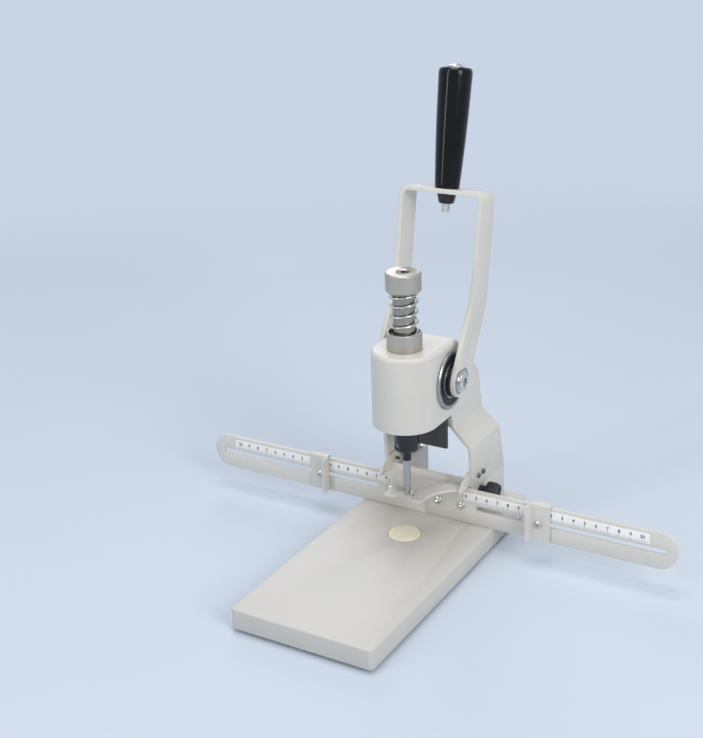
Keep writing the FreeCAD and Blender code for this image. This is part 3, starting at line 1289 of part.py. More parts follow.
# Return spring: one round wire wound as a helix, two tangent arcs to each quarter turn
def biarc(start, start_heading, finish, finish_heading):
    chord = finish - start
    both = start_heading + finish_heading
    spread = 2 * (1 - start_heading.dot(finish_heading))
    along = chord.dot(both)
    reach = (math.sqrt(along ** 2 + spread * chord.dot(chord)) - along) / spread
    joint = (start + start_heading * reach + finish - finish_heading * reach) * 0.5
    return [arc_from(start, start_heading, joint, False), arc_from(finish, finish_heading * -1, joint, True)]


def arc_from(start, heading, finish, backwards):
    chord = finish - start
    half = heading.getAngle(chord) / 2
    side = heading - chord * (heading.dot(chord) / chord.dot(chord))
    side.normalize()
    middle = start + chord * 0.5 + side * (chord.Length / 2 * math.tan(half))
    ends = (finish, middle, start) if backwards else (start, middle, finish)
    return Part.Arc(*ends).toShape()


def least_gap(points, wire, apart):
    gaps = []
    for n, point in enumerate(points):
        gaps.extend(point.distanceToPoint(other) for other in points[n + apart:])
    return min(gaps) - wire


def return_spring():
    wire = dim.spring_wire.value
    radius = (dim.spring_dia.value - wire) / 2
    low = (pivot_z + dim.head_top + dim.cup_floor + dim.spring_clear).value + wire / 2
    high = (cap_bottom - dim.spring_clear).value - wire / 2
    turns = dim.spring_turns.value
    quarters = int(round(turns * 4))
    rise = (high - low) / (2 * math.pi * turns)

    def place(turn):
        return Vector(radius * math.cos(turn), radius * math.sin(turn), rise * turn)

    def heading(turn):
        return Vector(-radius * math.sin(turn), radius * math.cos(turn), rise).normalize()

    stations = [2 * math.pi * turns * n / quarters for n in range(quarters + 1)]
    start = place(0) - heading(0) * wire
    finish = place(stations[-1]) + heading(stations[-1]) * wire
    edges = [Part.LineSegment(start, place(0)).toShape()]
    for here, there in zip(stations, stations[1:]):
        edges.extend(biarc(place(here), heading(here), place(there), heading(there)))
    edges.append(Part.LineSegment(place(stations[-1]), finish).toShape())
    spine = Part.Wire(edges)
    section = Part.Wire([Part.Circle(start, heading(0), wire / 2).toShape()])
    tube = spine.makePipeShell([section], True, False)
    per_turn = 48
    points = spine.discretize(Number=int(turns * per_turn))
    print("return spring: least gap to itself %.2f mm" % least_gap(points, wire, per_turn // 2))
    item = doc.addObject("Part::Feature", "return_spring")
    item.Shape = tube
    put(item, zero, drill_y,
        pivot_z + dim.head_top + dim.cup_floor + dim.spring_clear + dim.spring_wire / 2)
    keep(item)


# Ruler fence: a carriage between the rails, two ruler arms, their scale strips and screws
def fence():
    face = fence_y
    back = face + dim.arm_thick
    low = board_top + dim.arm_lift
    high = low + dim.arm_height
    half = dim.carriage_half
    upright = block("fence_upright", (-half, half), (back, back + dim.carriage_upright), (low, high - 1))
    floor = block("fence_floor", (dim.slide_gap - rail_inner, rail_inner - dim.slide_gap),
                  (back, face + dim.carriage_rear), (low, low + dim.carriage_floor))
    cheek_xs = either_side(1, rail_inner - dim.slide_gap - 8, rail_inner - dim.slide_gap)
    cheek = block("fence_cheek", cheek_xs, (back, face + dim.carriage_rear),
                  (low, low + dim.carriage_cheek + 6))
    tools = []
    screws = []
    for n, (side, across) in enumerate([(s, a) for s in (-1, 1) for a in (dim.ruler_screw_near,
                                                                          dim.ruler_screw_far)]):
        x = side * across
        z = board_top + dim.slot_centre
        tools.append(rod("fence_tap_%d" % n, dim.ruler_screw_dia / 2 + dim.seat_gap, dim.ruler_tap + 1, x,
                         back - 1, z, "Y"))
        head = rod("ruler_head_%d" % n, dim.ruler_screw_head_dia / 2, dim.ruler_screw_head, x,
                   face - dim.ruler_screw_head, z, "Y")
        shank = rod("ruler_shank_%d" % n, dim.ruler_screw_dia / 2, dim.arm_thick + dim.carriage_upright, x,
                    face, z,
                    "Y")
        screws.append(fuse("ruler_screw_%d" % n, head, shank))
    keep(cut("fence_carriage", fuse("fence_blank", upright, floor, cheek), *tools))
    keep(group("ruler_screws", screws))
    for side in (-1, 1):
        ruler_arm(side, face, low)


def ruler_arm(side, face, low):
    name = side_names[side]
    round_end = dim.arm_height / 2
    high = low + dim.arm_height
    straight = dim.arm_reach - round_end
    half_gap = dim.ruler_seam / 2
    if side > 0:
        outline = [(half_gap, low, None), (straight, low, round_end),
                   (dim.arm_reach, low + round_end, round_end),
                   (straight, high, None), (half_gap, high, None)]
    else:
        outline = [(-half_gap, low, None), (-half_gap, high, None), (-straight, high, round_end),
                   (-dim.arm_reach, low + round_end, round_end), (-straight, low, None)]
    body = padded("ruler_arm_" + name, "XZ", outline, face, face + dim.arm_thick)
    centre = board_top + dim.slot_centre
    half_slot = dim.slot_height / 2
    slot = rectangle(*either_side(side, dim.slot_start, dim.slot_end), centre - half_slot, centre + half_slot)
    holes = [(side * across, centre, dim.ruler_screw_dia / 2 + dim.seat_gap)
             for across in (dim.ruler_screw_near, dim.ruler_screw_far)]
    pierced(body, "ruler_opening_" + name, "XZ", [slot] + holes, dim.arm_thick + 1)
    keep(body)
    strip = block("scale_strip_" + name, either_side(side, dim.scale_start, dim.scale_end),
                  (face - dim.scale_thick, face), (board_top + dim.scale_low, board_top + dim.scale_high))
    notch = rod("scale_notch_" + name, dim.ruler_screw_head_dia / 2 + 1, dim.scale_thick + 2,
                side * dim.ruler_screw_far, face - dim.scale_thick - 1, centre, "Y")
    keep(cut("scale_" + name, strip, notch))


def clamp_knob():
    y = fence_y + dim.knob_y
    z = board_top + dim.knob_z
    start = half_span + dim.slide_gap
    radius = dim.knob_dia / 2
    lobes = int(dim.knob_lobes.value)
    core = rod("knob_core", radius * 0.8, dim.knob_length, start + dim.knob_gap, y, z, "X")
    boss = rod("knob_boss", dim.knob_boss_dia / 2, dim.knob_gap, start, y, z, "X")
    knuckles = []
    for n in range(lobes):
        turn = as_size(n) * 360 / dim.knob_lobes + 90
        knuckles.append(rod("knob_lobe_%d" % n, radius * 0.34, dim.knob_length, start + dim.knob_gap,
                            y + radius * 0.66 * cosine(turn), z + radius * 0.66 * sine(turn), "X"))
    stud_hole = rod("knob_hole", dim.knob_stud_dia / 2 + dim.seat_gap,
                    dim.knob_length * 0.6 + dim.knob_gap, start, y,
                    z, "X")
    solid = fuse("knob_solid", core, boss, *knuckles)
    keep(cut("clamp_knob", solid, stud_hole))
    inner = rail_inner
    keep(rod("clamp_stud", dim.knob_stud_dia / 2, start + dim.knob_gap + dim.knob_length / 2 - inner,
             inner, y, z,
             "X"))


# Side stops: a bent sheet over each ruler arm, clamped by a screw and a wing nut behind the arm
def side_stop(side):
    name = side_names[side]
    play = dim.stop_play
    sheet_thick = dim.stop_sheet
    face = fence_y - dim.scale_thick - play
    low = board_top + dim.arm_lift + 0.6
    arm_top = board_top + dim.arm_lift + dim.arm_height
    inner = dim.stop_face
    outer = inner + dim.stop_length
    back = fence_y + dim.arm_thick
    plate = block("stop_plate_" + name, either_side(side, inner, outer), (face - sheet_thick, face),
                  (low, arm_top + play + sheet_thick))
    flange = block("stop_flange_" + name, either_side(side, inner - sheet_thick, inner),
                   (face - sheet_thick - dim.stop_reach, face), (low, arm_top + play + sheet_thick))
    roof = block("stop_roof_" + name, either_side(side, inner, outer),
                 (face - sheet_thick, back + play + sheet_thick),
                 (arm_top + play, arm_top + play + sheet_thick))
    lip = block("stop_lip_" + name, either_side(side, inner, outer), (back + play, back + play + sheet_thick),
                (arm_top - dim.stop_hook, arm_top + play + sheet_thick))
    x = side * (inner + dim.stop_screw_along)
    z = board_top + dim.slot_centre
    hole = rod("stop_hole_" + name, dim.stop_screw_dia / 2 + dim.seat_gap, sheet_thick + 2, x,
               face - sheet_thick - 1, z, "Y")
    keep(cut("stop_" + name, fuse("stop_blank_" + name, plate, flange, roof, lip), hole))
    head_y = face - sheet_thick
    head = rod("stop_head_" + name, dim.stop_screw_head_dia / 2, dim.stop_screw_head, x,
               head_y - dim.stop_screw_head, z, "Y")
    nut_y = back + play
    shank = rod("stop_shank_" + name, dim.stop_screw_dia / 2, nut_y + dim.wing_boss + 2 - head_y, x,
                head_y, z, "Y")
    keep(fuse("stop_screw_" + name, head, shank))
    boss = turned_piece("wing_boss_" + name, x, nut_y, z, [
        (dim.stop_screw_dia / 2 + dim.running_fit, 0, None), (dim.wing_boss_dia / 2, 0, None),
        (dim.wing_boss_dia / 2 - 0.8, dim.wing_boss, None),
        (dim.stop_screw_dia / 2 + dim.running_fit, dim.wing_boss, None)], "Y")
    half = dim.wing_span / 2
    core = dim.wing_boss_dia / 2 - 1.2
    rise = dim.wing_rise
    round_tip = as_size(2.5)
    right = [(x + core, nut_y + 0.6, None), (x + half - 3, nut_y + rise - 4, None),
             (x + half, nut_y + rise - round_tip, round_tip), (x + half - round_tip, nut_y + rise, None),
             (x + core, nut_y + dim.wing_boss - 0.2, None)]
    left = [(x - core, nut_y + 0.6, None), (x - core, nut_y + dim.wing_boss - 0.2, None),
            (x - half + round_tip, nut_y + rise, round_tip), (x - half, nut_y + rise - round_tip, None),
            (x - half + 3, nut_y + rise - 4, None)]
    thick = dim.wing_sheet / 2
    wings = [prism("wing_%s_%d" % (name, n), "XY", outline, z - thick, z + thick)
             for n, outline in enumerate((right, left))]
    keep(fuse("wing_nut_" + name, boss, *wings))


base_board()
feet()
cutting_pad()
head_frame()
for side_sign in (-1, 1):
    side_rail(side_sign)
frame_fasteners()
rear_guard()
guide_tray()
bearings()
quill_guides()
drive_shaft()
lever_yoke()
lever_fasteners()
handle()
rack_column()
top_cap()
chuck()
drill()
return_spring()
fence()
clamp_knob()
for side_sign in (-1, 1):
    side_stop(side_sign)

doc.recompute()
for item in doc.Objects:
    if "Invalid" in item.State or "Error" in item.State:
        raise ValueError("%s did not compute" % item.Name)
for item in pieces:
    if item.Shape.isNull() or not item.Shape.isValid() or not item.Shape.Solids:
        raise ValueError("%s has no valid solid" % item.Label)

os.makedirs("parts", exist_ok=True)
for item in pieces:
    item.Shape.exportStep("parts/%s.step" % item.Label)
    print("%s: %d solid(s), %.0f mm3" % (item.Label, len(item.Shape.Solids), item.Shape.Volume))
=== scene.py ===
import math

import bmesh
import bpy
from mathutils import Matrix, Vector


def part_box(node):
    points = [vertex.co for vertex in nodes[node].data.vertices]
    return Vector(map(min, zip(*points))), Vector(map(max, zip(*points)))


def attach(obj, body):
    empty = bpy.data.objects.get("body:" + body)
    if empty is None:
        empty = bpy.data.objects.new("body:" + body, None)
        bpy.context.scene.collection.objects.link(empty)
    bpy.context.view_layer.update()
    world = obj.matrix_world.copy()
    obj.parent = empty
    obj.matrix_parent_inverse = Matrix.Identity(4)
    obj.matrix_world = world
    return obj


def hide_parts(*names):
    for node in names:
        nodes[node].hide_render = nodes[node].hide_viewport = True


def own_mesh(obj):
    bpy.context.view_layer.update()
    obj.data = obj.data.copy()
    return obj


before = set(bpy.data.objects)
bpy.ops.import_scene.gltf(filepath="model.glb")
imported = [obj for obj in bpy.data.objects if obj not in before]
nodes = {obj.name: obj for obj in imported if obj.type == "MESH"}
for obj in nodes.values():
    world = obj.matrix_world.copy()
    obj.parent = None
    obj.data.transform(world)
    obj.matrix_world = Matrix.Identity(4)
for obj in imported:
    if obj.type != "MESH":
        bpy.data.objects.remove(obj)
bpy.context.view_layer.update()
mm = 0.001
print("frame loaded,", len(nodes), "nodes")


# hex as given, turned to linear for the shaders
def colour(hexCode):
    parts = [int(hexCode[i:i + 2], 16) / 255 for i in (1, 3, 5)]
    return tuple(p / 12.92 if p <= 0.04045 else ((p + 0.055) / 1.055) ** 2.4 for p in parts) + (1.0,)


def link(obj):
    bpy.context.scene.collection.objects.link(obj)
    return obj


# flat faces stay crisp and round ones stay round: edges over the angle are marked sharp
def shade(mesh, angle=32):
    bm = bmesh.new()
    bm.from_mesh(mesh)
    for face in bm.faces:
        face.smooth = True
    for edge in bm.edges:
        edge.smooth = len(edge.link_faces) == 2 and edge.calc_face_angle(0) < math.radians(angle)
    bm.to_mesh(mesh)
    bm.free()
    return mesh


def meshFrom(name, points, faces):
    mesh = bpy.data.meshes.new(name)
    mesh.from_pydata([tuple(p) for p in points], [], faces)
    mesh.validate()
    bm = bmesh.new()
    bm.from_mesh(mesh)
    bmesh.ops.recalc_face_normals(bm, faces=bm.faces)
    bm.to_mesh(mesh)
    bm.free()
    return link(bpy.data.objects.new(name, mesh))


# bakes the modifiers in, so that the piece is plain mesh afterwards
def settle(obj):
    graph = bpy.context.evaluated_depsgraph_get()
    mesh = bpy.data.meshes.new_from_object(obj.evaluated_get(graph))
    obj.modifiers.clear()
    obj.data = mesh
    return obj


def carve(obj, *cutters):
    for cutter in cutters:
        cut = obj.modifiers.new("carve", "BOOLEAN")
        cut.operation = "DIFFERENCE"
        cut.solver = "EXACT"
        cut.object = cutter
        settle(obj)
        bpy.data.objects.remove(cutter)
    return obj


def bevelled(obj, width, segments=2, angle=32):
    edge = obj.modifiers.new("edge", "BEVEL")
    edge.width = width * mm
    edge.segments = segments
    edge.limit_method = "ANGLE"
    edge.angle_limit = math.radians(angle)
    edge.use_clamp_overlap = True
    edge.miter_outer = "MITER_ARC"
    edge.harden_normals = False
    return settle(obj)


# gives a finished piece its body and paint, and hides the nodes it stands for
def place(obj, body, paint, slotName, *replaced):
    shade(obj.data)
    obj.data.materials.clear()
    obj.data.materials.append(paint)
    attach(obj, body)
    if replaced:
        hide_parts(*replaced)
    return obj


# a copy of a node's mesh, cleaned to its real faces, with its machined or pressed edges broken
def edged(node, width, segments=2, angle=32):
    mesh = nodes[node].data.copy()
    obj = link(bpy.data.objects.new(node + "_finished", mesh))
    bm = bmesh.new()
    bm.from_mesh(mesh)
    bmesh.ops.remove_doubles(bm, verts=bm.verts, dist=0.002 * mm)
    bmesh.ops.dissolve_limit(bm, angle_limit=math.radians(0.6), verts=bm.verts, edges=bm.edges)
    bm.to_mesh(mesh)
    bm.free()
    return bevelled(obj, width, segments, angle)


# profile of (radius, height) with its corners rounded, each by its own third number
def softProfile(profile, steps=4):
    out = []
    count = len(profile)
    for i, point in enumerate(profile):
        radius = point[2] if len(point) > 2 else 0
        here = Vector(point[:2])
        if not radius or i in (0, count - 1):
            out.append(here)
            continue
        before = Vector(profile[i - 1][:2]) - here
        after = Vector(profile[i + 1][:2]) - here
        angle = before.angle(after)
        reach = min(radius / math.tan(angle / 2), before.length * 0.48, after.length * 0.48)
        start = here + before.normalized() * reach
        finish = here + after.normalized() * reach
        for k in range(steps + 1):
            t = k / steps
            out.append(start * (1 - t) ** 2 + here * 2 * t * (1 - t) + finish * t ** 2)
    return out


# turned piece about Z; turn takes its axis elsewhere
def lathe(name, profile, at, turn=Matrix(), sides=96):
    ring = softProfile(profile)
    points = []
    faces = []
    index = []
    for radius, height in ring:
        if radius < 1e-6:
            index.append([len(points)])
            points.append(Vector((0, 0, height)))
        else:
            index.append(list(range(len(points), len(points) + sides)))
            for k in range(sides):
                a = 2 * math.pi * k / sides
                points.append(Vector((radius * math.cos(a), radius * math.sin(a), height)))
    closed = profile[0][0] > 1e-6 and profile[-1][0] > 1e-6
    pairs = list(zip(index, index[1:])) + ([(index[-1], index[0])] if closed else [])
    for low, high in pairs:
        for k in range(sides):
            n = (k + 1) % sides
            if len(low) == 1 and len(high) == 1:
                continue
            if len(low) == 1:
                faces.append((low[0], high[k], high[n]))
            elif len(high) == 1:
                faces.append((low[k], low[n], high[0]))
            else:
                faces.append((low[k], low[n], high[n], high[k]))
    here = Matrix.Translation(Vector(at) * mm) @ turn @ Matrix.Scale(mm, 4)
    return meshFrom(name, [here @ p for p in points], faces)


def hexCutter(across, depth, at, turn):
    corner = across / math.sqrt(3)
    profile = [(0, -depth - across * 0.12), (corner, -depth), (corner, 1), (0, 1)]
    return lathe("hexCutter", profile, at, turn, 6)


# cross recess of a Phillips head: two tapered blades
def crossCutters(size, depth, at, turn, twist):
    blades = []
    for n in (0, 1):
        half = size / 2
        thin = size * 0.13
        points = [(-half, -thin, 0.5), (half, -thin, 0.5), (half, thin, 0.5), (-half, thin, 0.5),
                  (-half * 0.35, -thin * 0.7, -depth), (half * 0.35, -thin * 0.7, -depth),
                  (half * 0.35, thin * 0.7, -depth), (-half * 0.35, thin * 0.7, -depth)]
        faces = [(0, 3, 2, 1), (4, 5, 6, 7), (0, 1, 5, 4), (1, 2, 6, 5), (2, 3, 7, 6), (3, 0, 4, 7)]
        spin = Matrix.Rotation(math.radians(twist + 90 * n), 4, "Z")
        here = Matrix.Translation(Vector(at) * mm) @ turn @ spin @ Matrix.Scale(mm, 4)
        blades.append(meshFrom("crossBlade", [here @ Vector(p) for p in points], faces))
    return blades


def join(name, objs):
    bm = bmesh.new()
    for obj in objs:
        bm.from_mesh(obj.data)
    mesh = bpy.data.meshes.new(name)
    bm.to_mesh(mesh)
    bm.free()
    for obj in objs:
        bpy.data.objects.remove(obj)
    return link(bpy.data.objects.new(name, mesh))


towards = {
    "x": Matrix.Rotation(math.radians(90), 4, "Y"),
    "-x": Matrix.Rotation(math.radians(-90), 4, "Y"),
    "-y": Matrix.Rotation(math.radians(90), 4, "X"),
    "z": Matrix(),
}


# middle of a node in mm, and its corners, read from the frame
def spot(node):
    low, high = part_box(node)
    return (low + high) / 2 / mm, low / mm, high / mm


# one node with its settings and what feeds it
def addNode(tree, kind, settings=None, feeds=None):
    node = tree.nodes.new(kind)
    for key, value in (settings or {}).items():
        setattr(node, key, value)
    for key, value in (feeds or {}).items():
        if isinstance(value, bpy.types.NodeSocket):
            tree.links.new(value, node.inputs[key])
        else:
            node.inputs[key].default_value = value
    return node


def startMaterial(name, settings):
    material = bpy.data.materials.new(name)
    material.use_nodes = True
    tree = material.node_tree
    shader = tree.nodes["Principled BSDF"]
    for key, value in settings.items():
        shader.inputs[key].default_value = value
    where = addNode(tree, "ShaderNodeTexCoord")
    return material, tree, shader, where.outputs["Object"]


def ramp(tree, source, stops):
    node = addNode(tree, "ShaderNodeValToRGB", feeds={"Fac": source})
    band = node.color_ramp
    band.elements[0].position, band.elements[0].color = stops[0][0], stops[0][1]
    band.elements[1].position, band.elements[1].color = stops[-1][0], stops[-1][1]
    for position, tint in stops[1:-1]:
        band.elements.new(position).color = tint
    return node.outputs["Color"]


def spread(tree, source, low, high):
    return addNode(tree, "ShaderNodeMapRange", feeds={"Value": source, "From Min": 0.3, "From Max": 0.7,
                                                      "To Min": low, "To Max": high}).outputs["Result"]


# roughness that drifts between two values with a noise, so that no highlight is even
def vary(tree, shader, source, low, high):
    tree.links.new(spread(tree, source.outputs["Fac"], low, high), shader.inputs["Roughness"])


def emboss(tree, shader, source, strength, distance):
    bump = addNode(tree, "ShaderNodeBump", feeds={"Height": source.outputs["Fac"], "Strength": strength,
                                                  "Distance": distance})
    tree.links.new(bump.outputs["Normal"], shader.inputs["Normal"])


# stoved light grey paint on steel: eggshell sheen with the faint ripple that a sprayed coat dries to,
# slightly yellower where it lies thick
def stovedPaint(name, light, deep, roughness, ripple=0.05):
    material, tree, shader, where = startMaterial(name, {"Roughness": roughness, "IOR": 1.5})
    shader.inputs["Coat Weight"].default_value = 0.12
    shader.inputs["Coat Roughness"].default_value = 0.28
    cloud = addNode(tree, "ShaderNodeTexNoise", feeds={"Vector": where, "Scale": 26.0, "Detail": 4.0,
                                                       "Roughness": 0.55})
    speck = addNode(tree, "ShaderNodeTexNoise", feeds={"Vector": where, "Scale": 2600.0, "Detail": 1.0})
    peel = addNode(tree, "ShaderNodeTexNoise", feeds={"Vector": where, "Scale": 900.0, "Detail": 2.0,
                                                      "Roughness": 0.45})
    tint = ramp(tree, cloud.outputs["Fac"], [(0.32, colour(deep)), (0.68, colour(light))])
    mixed = addNode(tree, "ShaderNodeMix", {"data_type": "RGBA", "blend_type": "MULTIPLY"},
                    {0: 0.35, 6: tint, 7: ramp(tree, speck.outputs["Fac"],
                                                [(0.25, colour("#d2d0cc")), (0.5, colour("#ffffff"))])})
    tree.links.new(mixed.outputs[2], shader.inputs["Base Color"])
    vary(tree, shader, cloud, roughness - 0.02, roughness + 0.03)
    emboss(tree, shader, peel, ripple, 0.0004)
    return material


# steel turned in a lathe: the tool leaves fine rings round the sides and circles on the ends, so light
# draws out across them; the rings follow the axis that is given
def turnedSteel(name, light, deep, roughness, at, turn=(0, 0, 0), pitch=0.22, depth=0.25, drawn=0.0):
    material, tree, shader, where = startMaterial(name, {"Metallic": 1.0, "Roughness": roughness})
    local = addNode(tree, "ShaderNodeMapping", {"vector_type": "TEXTURE"},
                    {"Vector": where, "Location": tuple(v * mm for v in at),
                     "Rotation": tuple(math.radians(v) for v in turn)})
    parts = addNode(tree, "ShaderNodeSeparateXYZ", feeds={"Vector": local.outputs["Vector"]})
    flat = addNode(tree, "ShaderNodeCombineXYZ", feeds={"X": parts.outputs["X"], "Y": parts.outputs["Y"]})
    away = addNode(tree, "ShaderNodeVectorMath", {"operation": "LENGTH"}, {0: flat.outputs["Vector"]})
    path = addNode(tree, "ShaderNodeMath", {"operation": "ADD"},
                   {0: parts.outputs["Z"], 1: away.outputs["Value"]})
    rings = addNode(tree, "ShaderNodeTexNoise", {"noise_dimensions": "1D"},
                    {"W": path.outputs["Value"], "Scale": 1 / (pitch * mm), "Detail": 3.0, "Roughness": 0.7})
    bands = addNode(tree, "ShaderNodeTexNoise", {"noise_dimensions": "1D"},
                    {"W": path.outputs["Value"], "Scale": 0.4 / (pitch * mm), "Detail": 2.0})
    smear = addNode(tree, "ShaderNodeTexNoise", feeds={"Vector": where, "Scale": 60.0, "Detail": 5.0,
                                                       "Roughness": 0.6})
    both = addNode(tree, "ShaderNodeMix", {"data_type": "FLOAT"}, {0: 0.45, 2: rings.outputs["Fac"],
                                                                   3: bands.outputs["Fac"]})
    tint = ramp(tree, both.outputs[0], [(0.3, colour(deep)), (0.7, colour(light))])
    tree.links.new(tint, shader.inputs["Base Color"])
    vary(tree, shader, smear, roughness - 0.05, roughness + 0.08)
    if drawn:
        around = addNode(tree, "ShaderNodeTangent", {"direction_type": "RADIAL", "axis": "Z"})
        tree.links.new(around.outputs["Tangent"], shader.inputs["Tangent"])
        shader.inputs["Anisotropic"].default_value = drawn
    emboss(tree, shader, rings, depth, 0.00004)
    return material


# bright plated or polished steel: clear reflections, with faint fingermarks that dull them in patches
def brightMetal(name, light, deep, roughness, streak=(1, 1, 1)):
    material, tree, shader, where = startMaterial(name, {"Metallic": 1.0, "Roughness": roughness})
    local = addNode(tree, "ShaderNodeMapping", feeds={"Vector": where, "Scale": streak})
    marks = addNode(tree, "ShaderNodeTexNoise", feeds={"Vector": local.outputs["Vector"], "Scale": 240.0,
                                                       "Detail": 4.0, "Roughness": 0.6})
    tint = ramp(tree, marks.outputs["Fac"], [(0.35, colour(deep)), (0.6, colour(light))])
    tree.links.new(tint, shader.inputs["Base Color"])
    vary(tree, shader, marks, roughness - 0.03, roughness + 0.07)
    emboss(tree, shader, marks, 0.05, 0.00005)
    return material


# blackened steel: an oxide skin with a trace of oil, dark blue-black with soft highlights and a fine grain
def blackenedSteel(name, light, deep, roughness, scale=1500.0):
    material, tree, shader, where = startMaterial(name, {"Metallic": 0.35, "Roughness": roughness})
    shader.inputs["Coat Weight"].default_value = 0.55
    shader.inputs["Coat Roughness"].default_value = 0.16
    grain = addNode(tree, "ShaderNodeTexNoise", feeds={"Vector": where, "Scale": scale, "Detail": 3.0})
    patch = addNode(tree, "ShaderNodeTexNoise", feeds={"Vector": where, "Scale": 90.0, "Detail": 4.0})
    tint = ramp(tree, patch.outputs["Fac"], [(0.35, colour(deep)), (0.7, colour(light))])
    tree.links.new(tint, shader.inputs["Base Color"])
    vary(tree, shader, grain, roughness - 0.06, roughness + 0.08)
    emboss(tree, shader, grain, 0.08, 0.0001)
    return material


# moulded plastic: the gloss or the grain is the mould's own, so the grain size and roughness tell the two
# apart; soft lets light a little way in, which makes the pad look milky
def mouldedPlastic(name, light, deep, roughness, grainScale, grainDepth, coat=0.0, soft=0.0, sheen=0.5):
    material, tree, shader, where = startMaterial(name, {"Roughness": roughness, "IOR": 1.49,
                                                         "Specular IOR Level": sheen})
    shader.inputs["Coat Weight"].default_value = coat
    shader.inputs["Coat Roughness"].default_value = 0.04
    shader.inputs["Subsurface Weight"].default_value = soft
    shader.inputs["Subsurface Scale"].default_value = 0.0015
    grain = addNode(tree, "ShaderNodeTexNoise", feeds={"Vector": where, "Scale": grainScale, "Detail": 2.0})
    cloud = addNode(tree, "ShaderNodeTexNoise", feeds={"Vector": where, "Scale": 70.0, "Detail": 5.0,
                                                       "Roughness": 0.6})
    tint = ramp(tree, cloud.outputs["Fac"], [(0.34, colour(deep)), (0.66, colour(light))])
    tree.links.new(tint, shader.inputs["Base Color"])
    vary(tree, shader, cloud, roughness * 0.8, roughness * 1.25)
    emboss(tree, shader, grain, grainDepth, 0.0001)
    return material


drillSpot = spot("rack_column")[0]
pivotSpot = spot("pivot_shaft")[0]
drillAt = (0, drillSpot.y, 0)
pivotAt = (0, pivotSpot.y, pivotSpot.z)

paint = stovedPaint("light_grey_stoved_paint", "#dddbd5", "#d8d6d0", 0.40)
boardPaint = stovedPaint("light_grey_board_paint", "#d0cec9", "#cdcbc6", 0.46, 0.07)
guardPaint = stovedPaint("dark_grey_guard_paint", "#3e3f42", "#333437", 0.48)
blackPaint = stovedPaint("black_spacer_paint", "#16171a", "#0d0e10", 0.35)
# drawn stretches the highlight along the quill, as the fine tool rings do
capSteel = turnedSteel("turned_steel_quill", "#d2cabd", "#b2aa9d", 0.30, drillAt,
                       pitch=0.16, depth=0.12, drawn=0.65)
columnSteel = turnedSteel("ground_steel_column", "#b9b3a9", "#8f897f", 0.26, drillAt,
                          pitch=0.12, depth=0.12, drawn=0.65)
bearingSteel = turnedSteel("ground_bearing_steel", "#b9b9ba", "#909193", 0.26, pivotAt,
                           (0, 90, 0), 0.12, 0.15)
springSteel = brightMetal("drawn_spring_wire", "#d8d6d2", "#b3b1ad", 0.22, (1, 1, 0.3))
plated = brightMetal("bright_nickel_plate", "#e3e1dc", "#c2c0bc", 0.16)
chrome = brightMetal("polished_chrome_tube", "#cfcfcf", "#a9a9aa", 0.10, (1, 1, 0.05))
blackened = blackenedSteel("blackened_steel_chuck", "#131418", "#08090b", 0.24)
# the small tray screws are blackened steel made light grey, a painted highlight standing in for the light
# their heads catch, so they read as light dots against the legs
traySteel = blackenedSteel("blackened_screws_painted_highlight", "#77777a", "#4c4c4f", 0.26, 2400.0)
darkScrew = blackenedSteel("blackened_steel_screws", "#2b2b2d", "#141415", 0.32, 2400.0)
gripPlastic = mouldedPlastic("glossy_black_grip", "#0b0b0e", "#050506", 0.12, 300.0, 0.02,
                             coat=0.1, sheen=0.22)
knobPlastic = mouldedPlastic("grained_black_knob", "#1a1a1c", "#101012", 0.42, 2200.0, 0.25)
padPlastic = mouldedPlastic("milky_cutting_plastic", "#f7f1dc", "#efe7cc", 0.5, 1400.0, 0.2, soft=0.25)
stripPlastic = mouldedPlastic("white_scale_strip", "#fafaf8", "#f4f4f2", 0.38, 1800.0, 0.05)
ink = mouldedPlastic("black_scale_ink", "#111113", "#09090a", 0.55, 2500.0, 0.05)
sealRubber = mouldedPlastic("moulded_seal_rubber", "#1b1b1d", "#0f0f10", 0.5, 1700.0, 0.3)
footRubber = mouldedPlastic("moulded_foot_rubber", "#1e1e1f", "#121213", 0.62, 1500.0, 0.35)
print("materials made")


# board and feet: the widths of their broken edges
board = {"edge": 0.25, "footEdge": 0.35, "screwEdge": 0.2}
place(edged("base_board", board["edge"]), "frame", boardPaint, "grey_paint", "base_board")
place(edged("rubber_feet", board["footEdge"], 3), "frame", footRubber, "rubber", "rubber_feet")
place(edged("foot_screws", board["screwEdge"]), "frame", plated, "steel", "foot_screws")
place(edged("rail_bolts", board["screwEdge"]), "frame", darkScrew, "black_oxide", "rail_bolts")

# a disc of milky plastic, with the fine turned-in serration that its rim shows
pad = {"teeth": 72, "bite": 0.22, "rim": 0.7, "band": 0.9}


def makePad():
    centre, low, high = spot("cutting_pad")
    radius = (high.x - low.x) / 2
    thick = high.z - low.z
    obj = lathe("cutting_pad_disc", [
        (0, 0), (radius - 0.3, 0, 0.2), (radius, 0.4, 0.2), (radius, thick - pad["rim"], 0.15),
        (radius - pad["rim"], thick, 0.25), (radius - 3.4, thick, 0.1), (radius - 3.7, thick - 0.12, 0.1),
        (radius - 4.0, thick, 0.1), (0, thick)], (centre.x, centre.y, low.z), sides=pad["teeth"] * 4)
    for vertex in obj.data.vertices:
        x, y = vertex.co.x / mm - centre.x, vertex.co.y / mm - centre.y
        away = math.hypot(x, y)
        if away > radius - pad["band"]:
            wave = 0.5 - 0.5 * math.cos(math.atan2(y, x) * pad["teeth"])
            shrink = (away - pad["bite"] * wave) / away
            vertex.co.x = (centre.x + x * shrink) * mm
            vertex.co.y = (centre.y + y * shrink) * mm
    place(obj, "pad", padPlastic, "pad_plastic", "cutting_pad")


makePad()
print("board made")


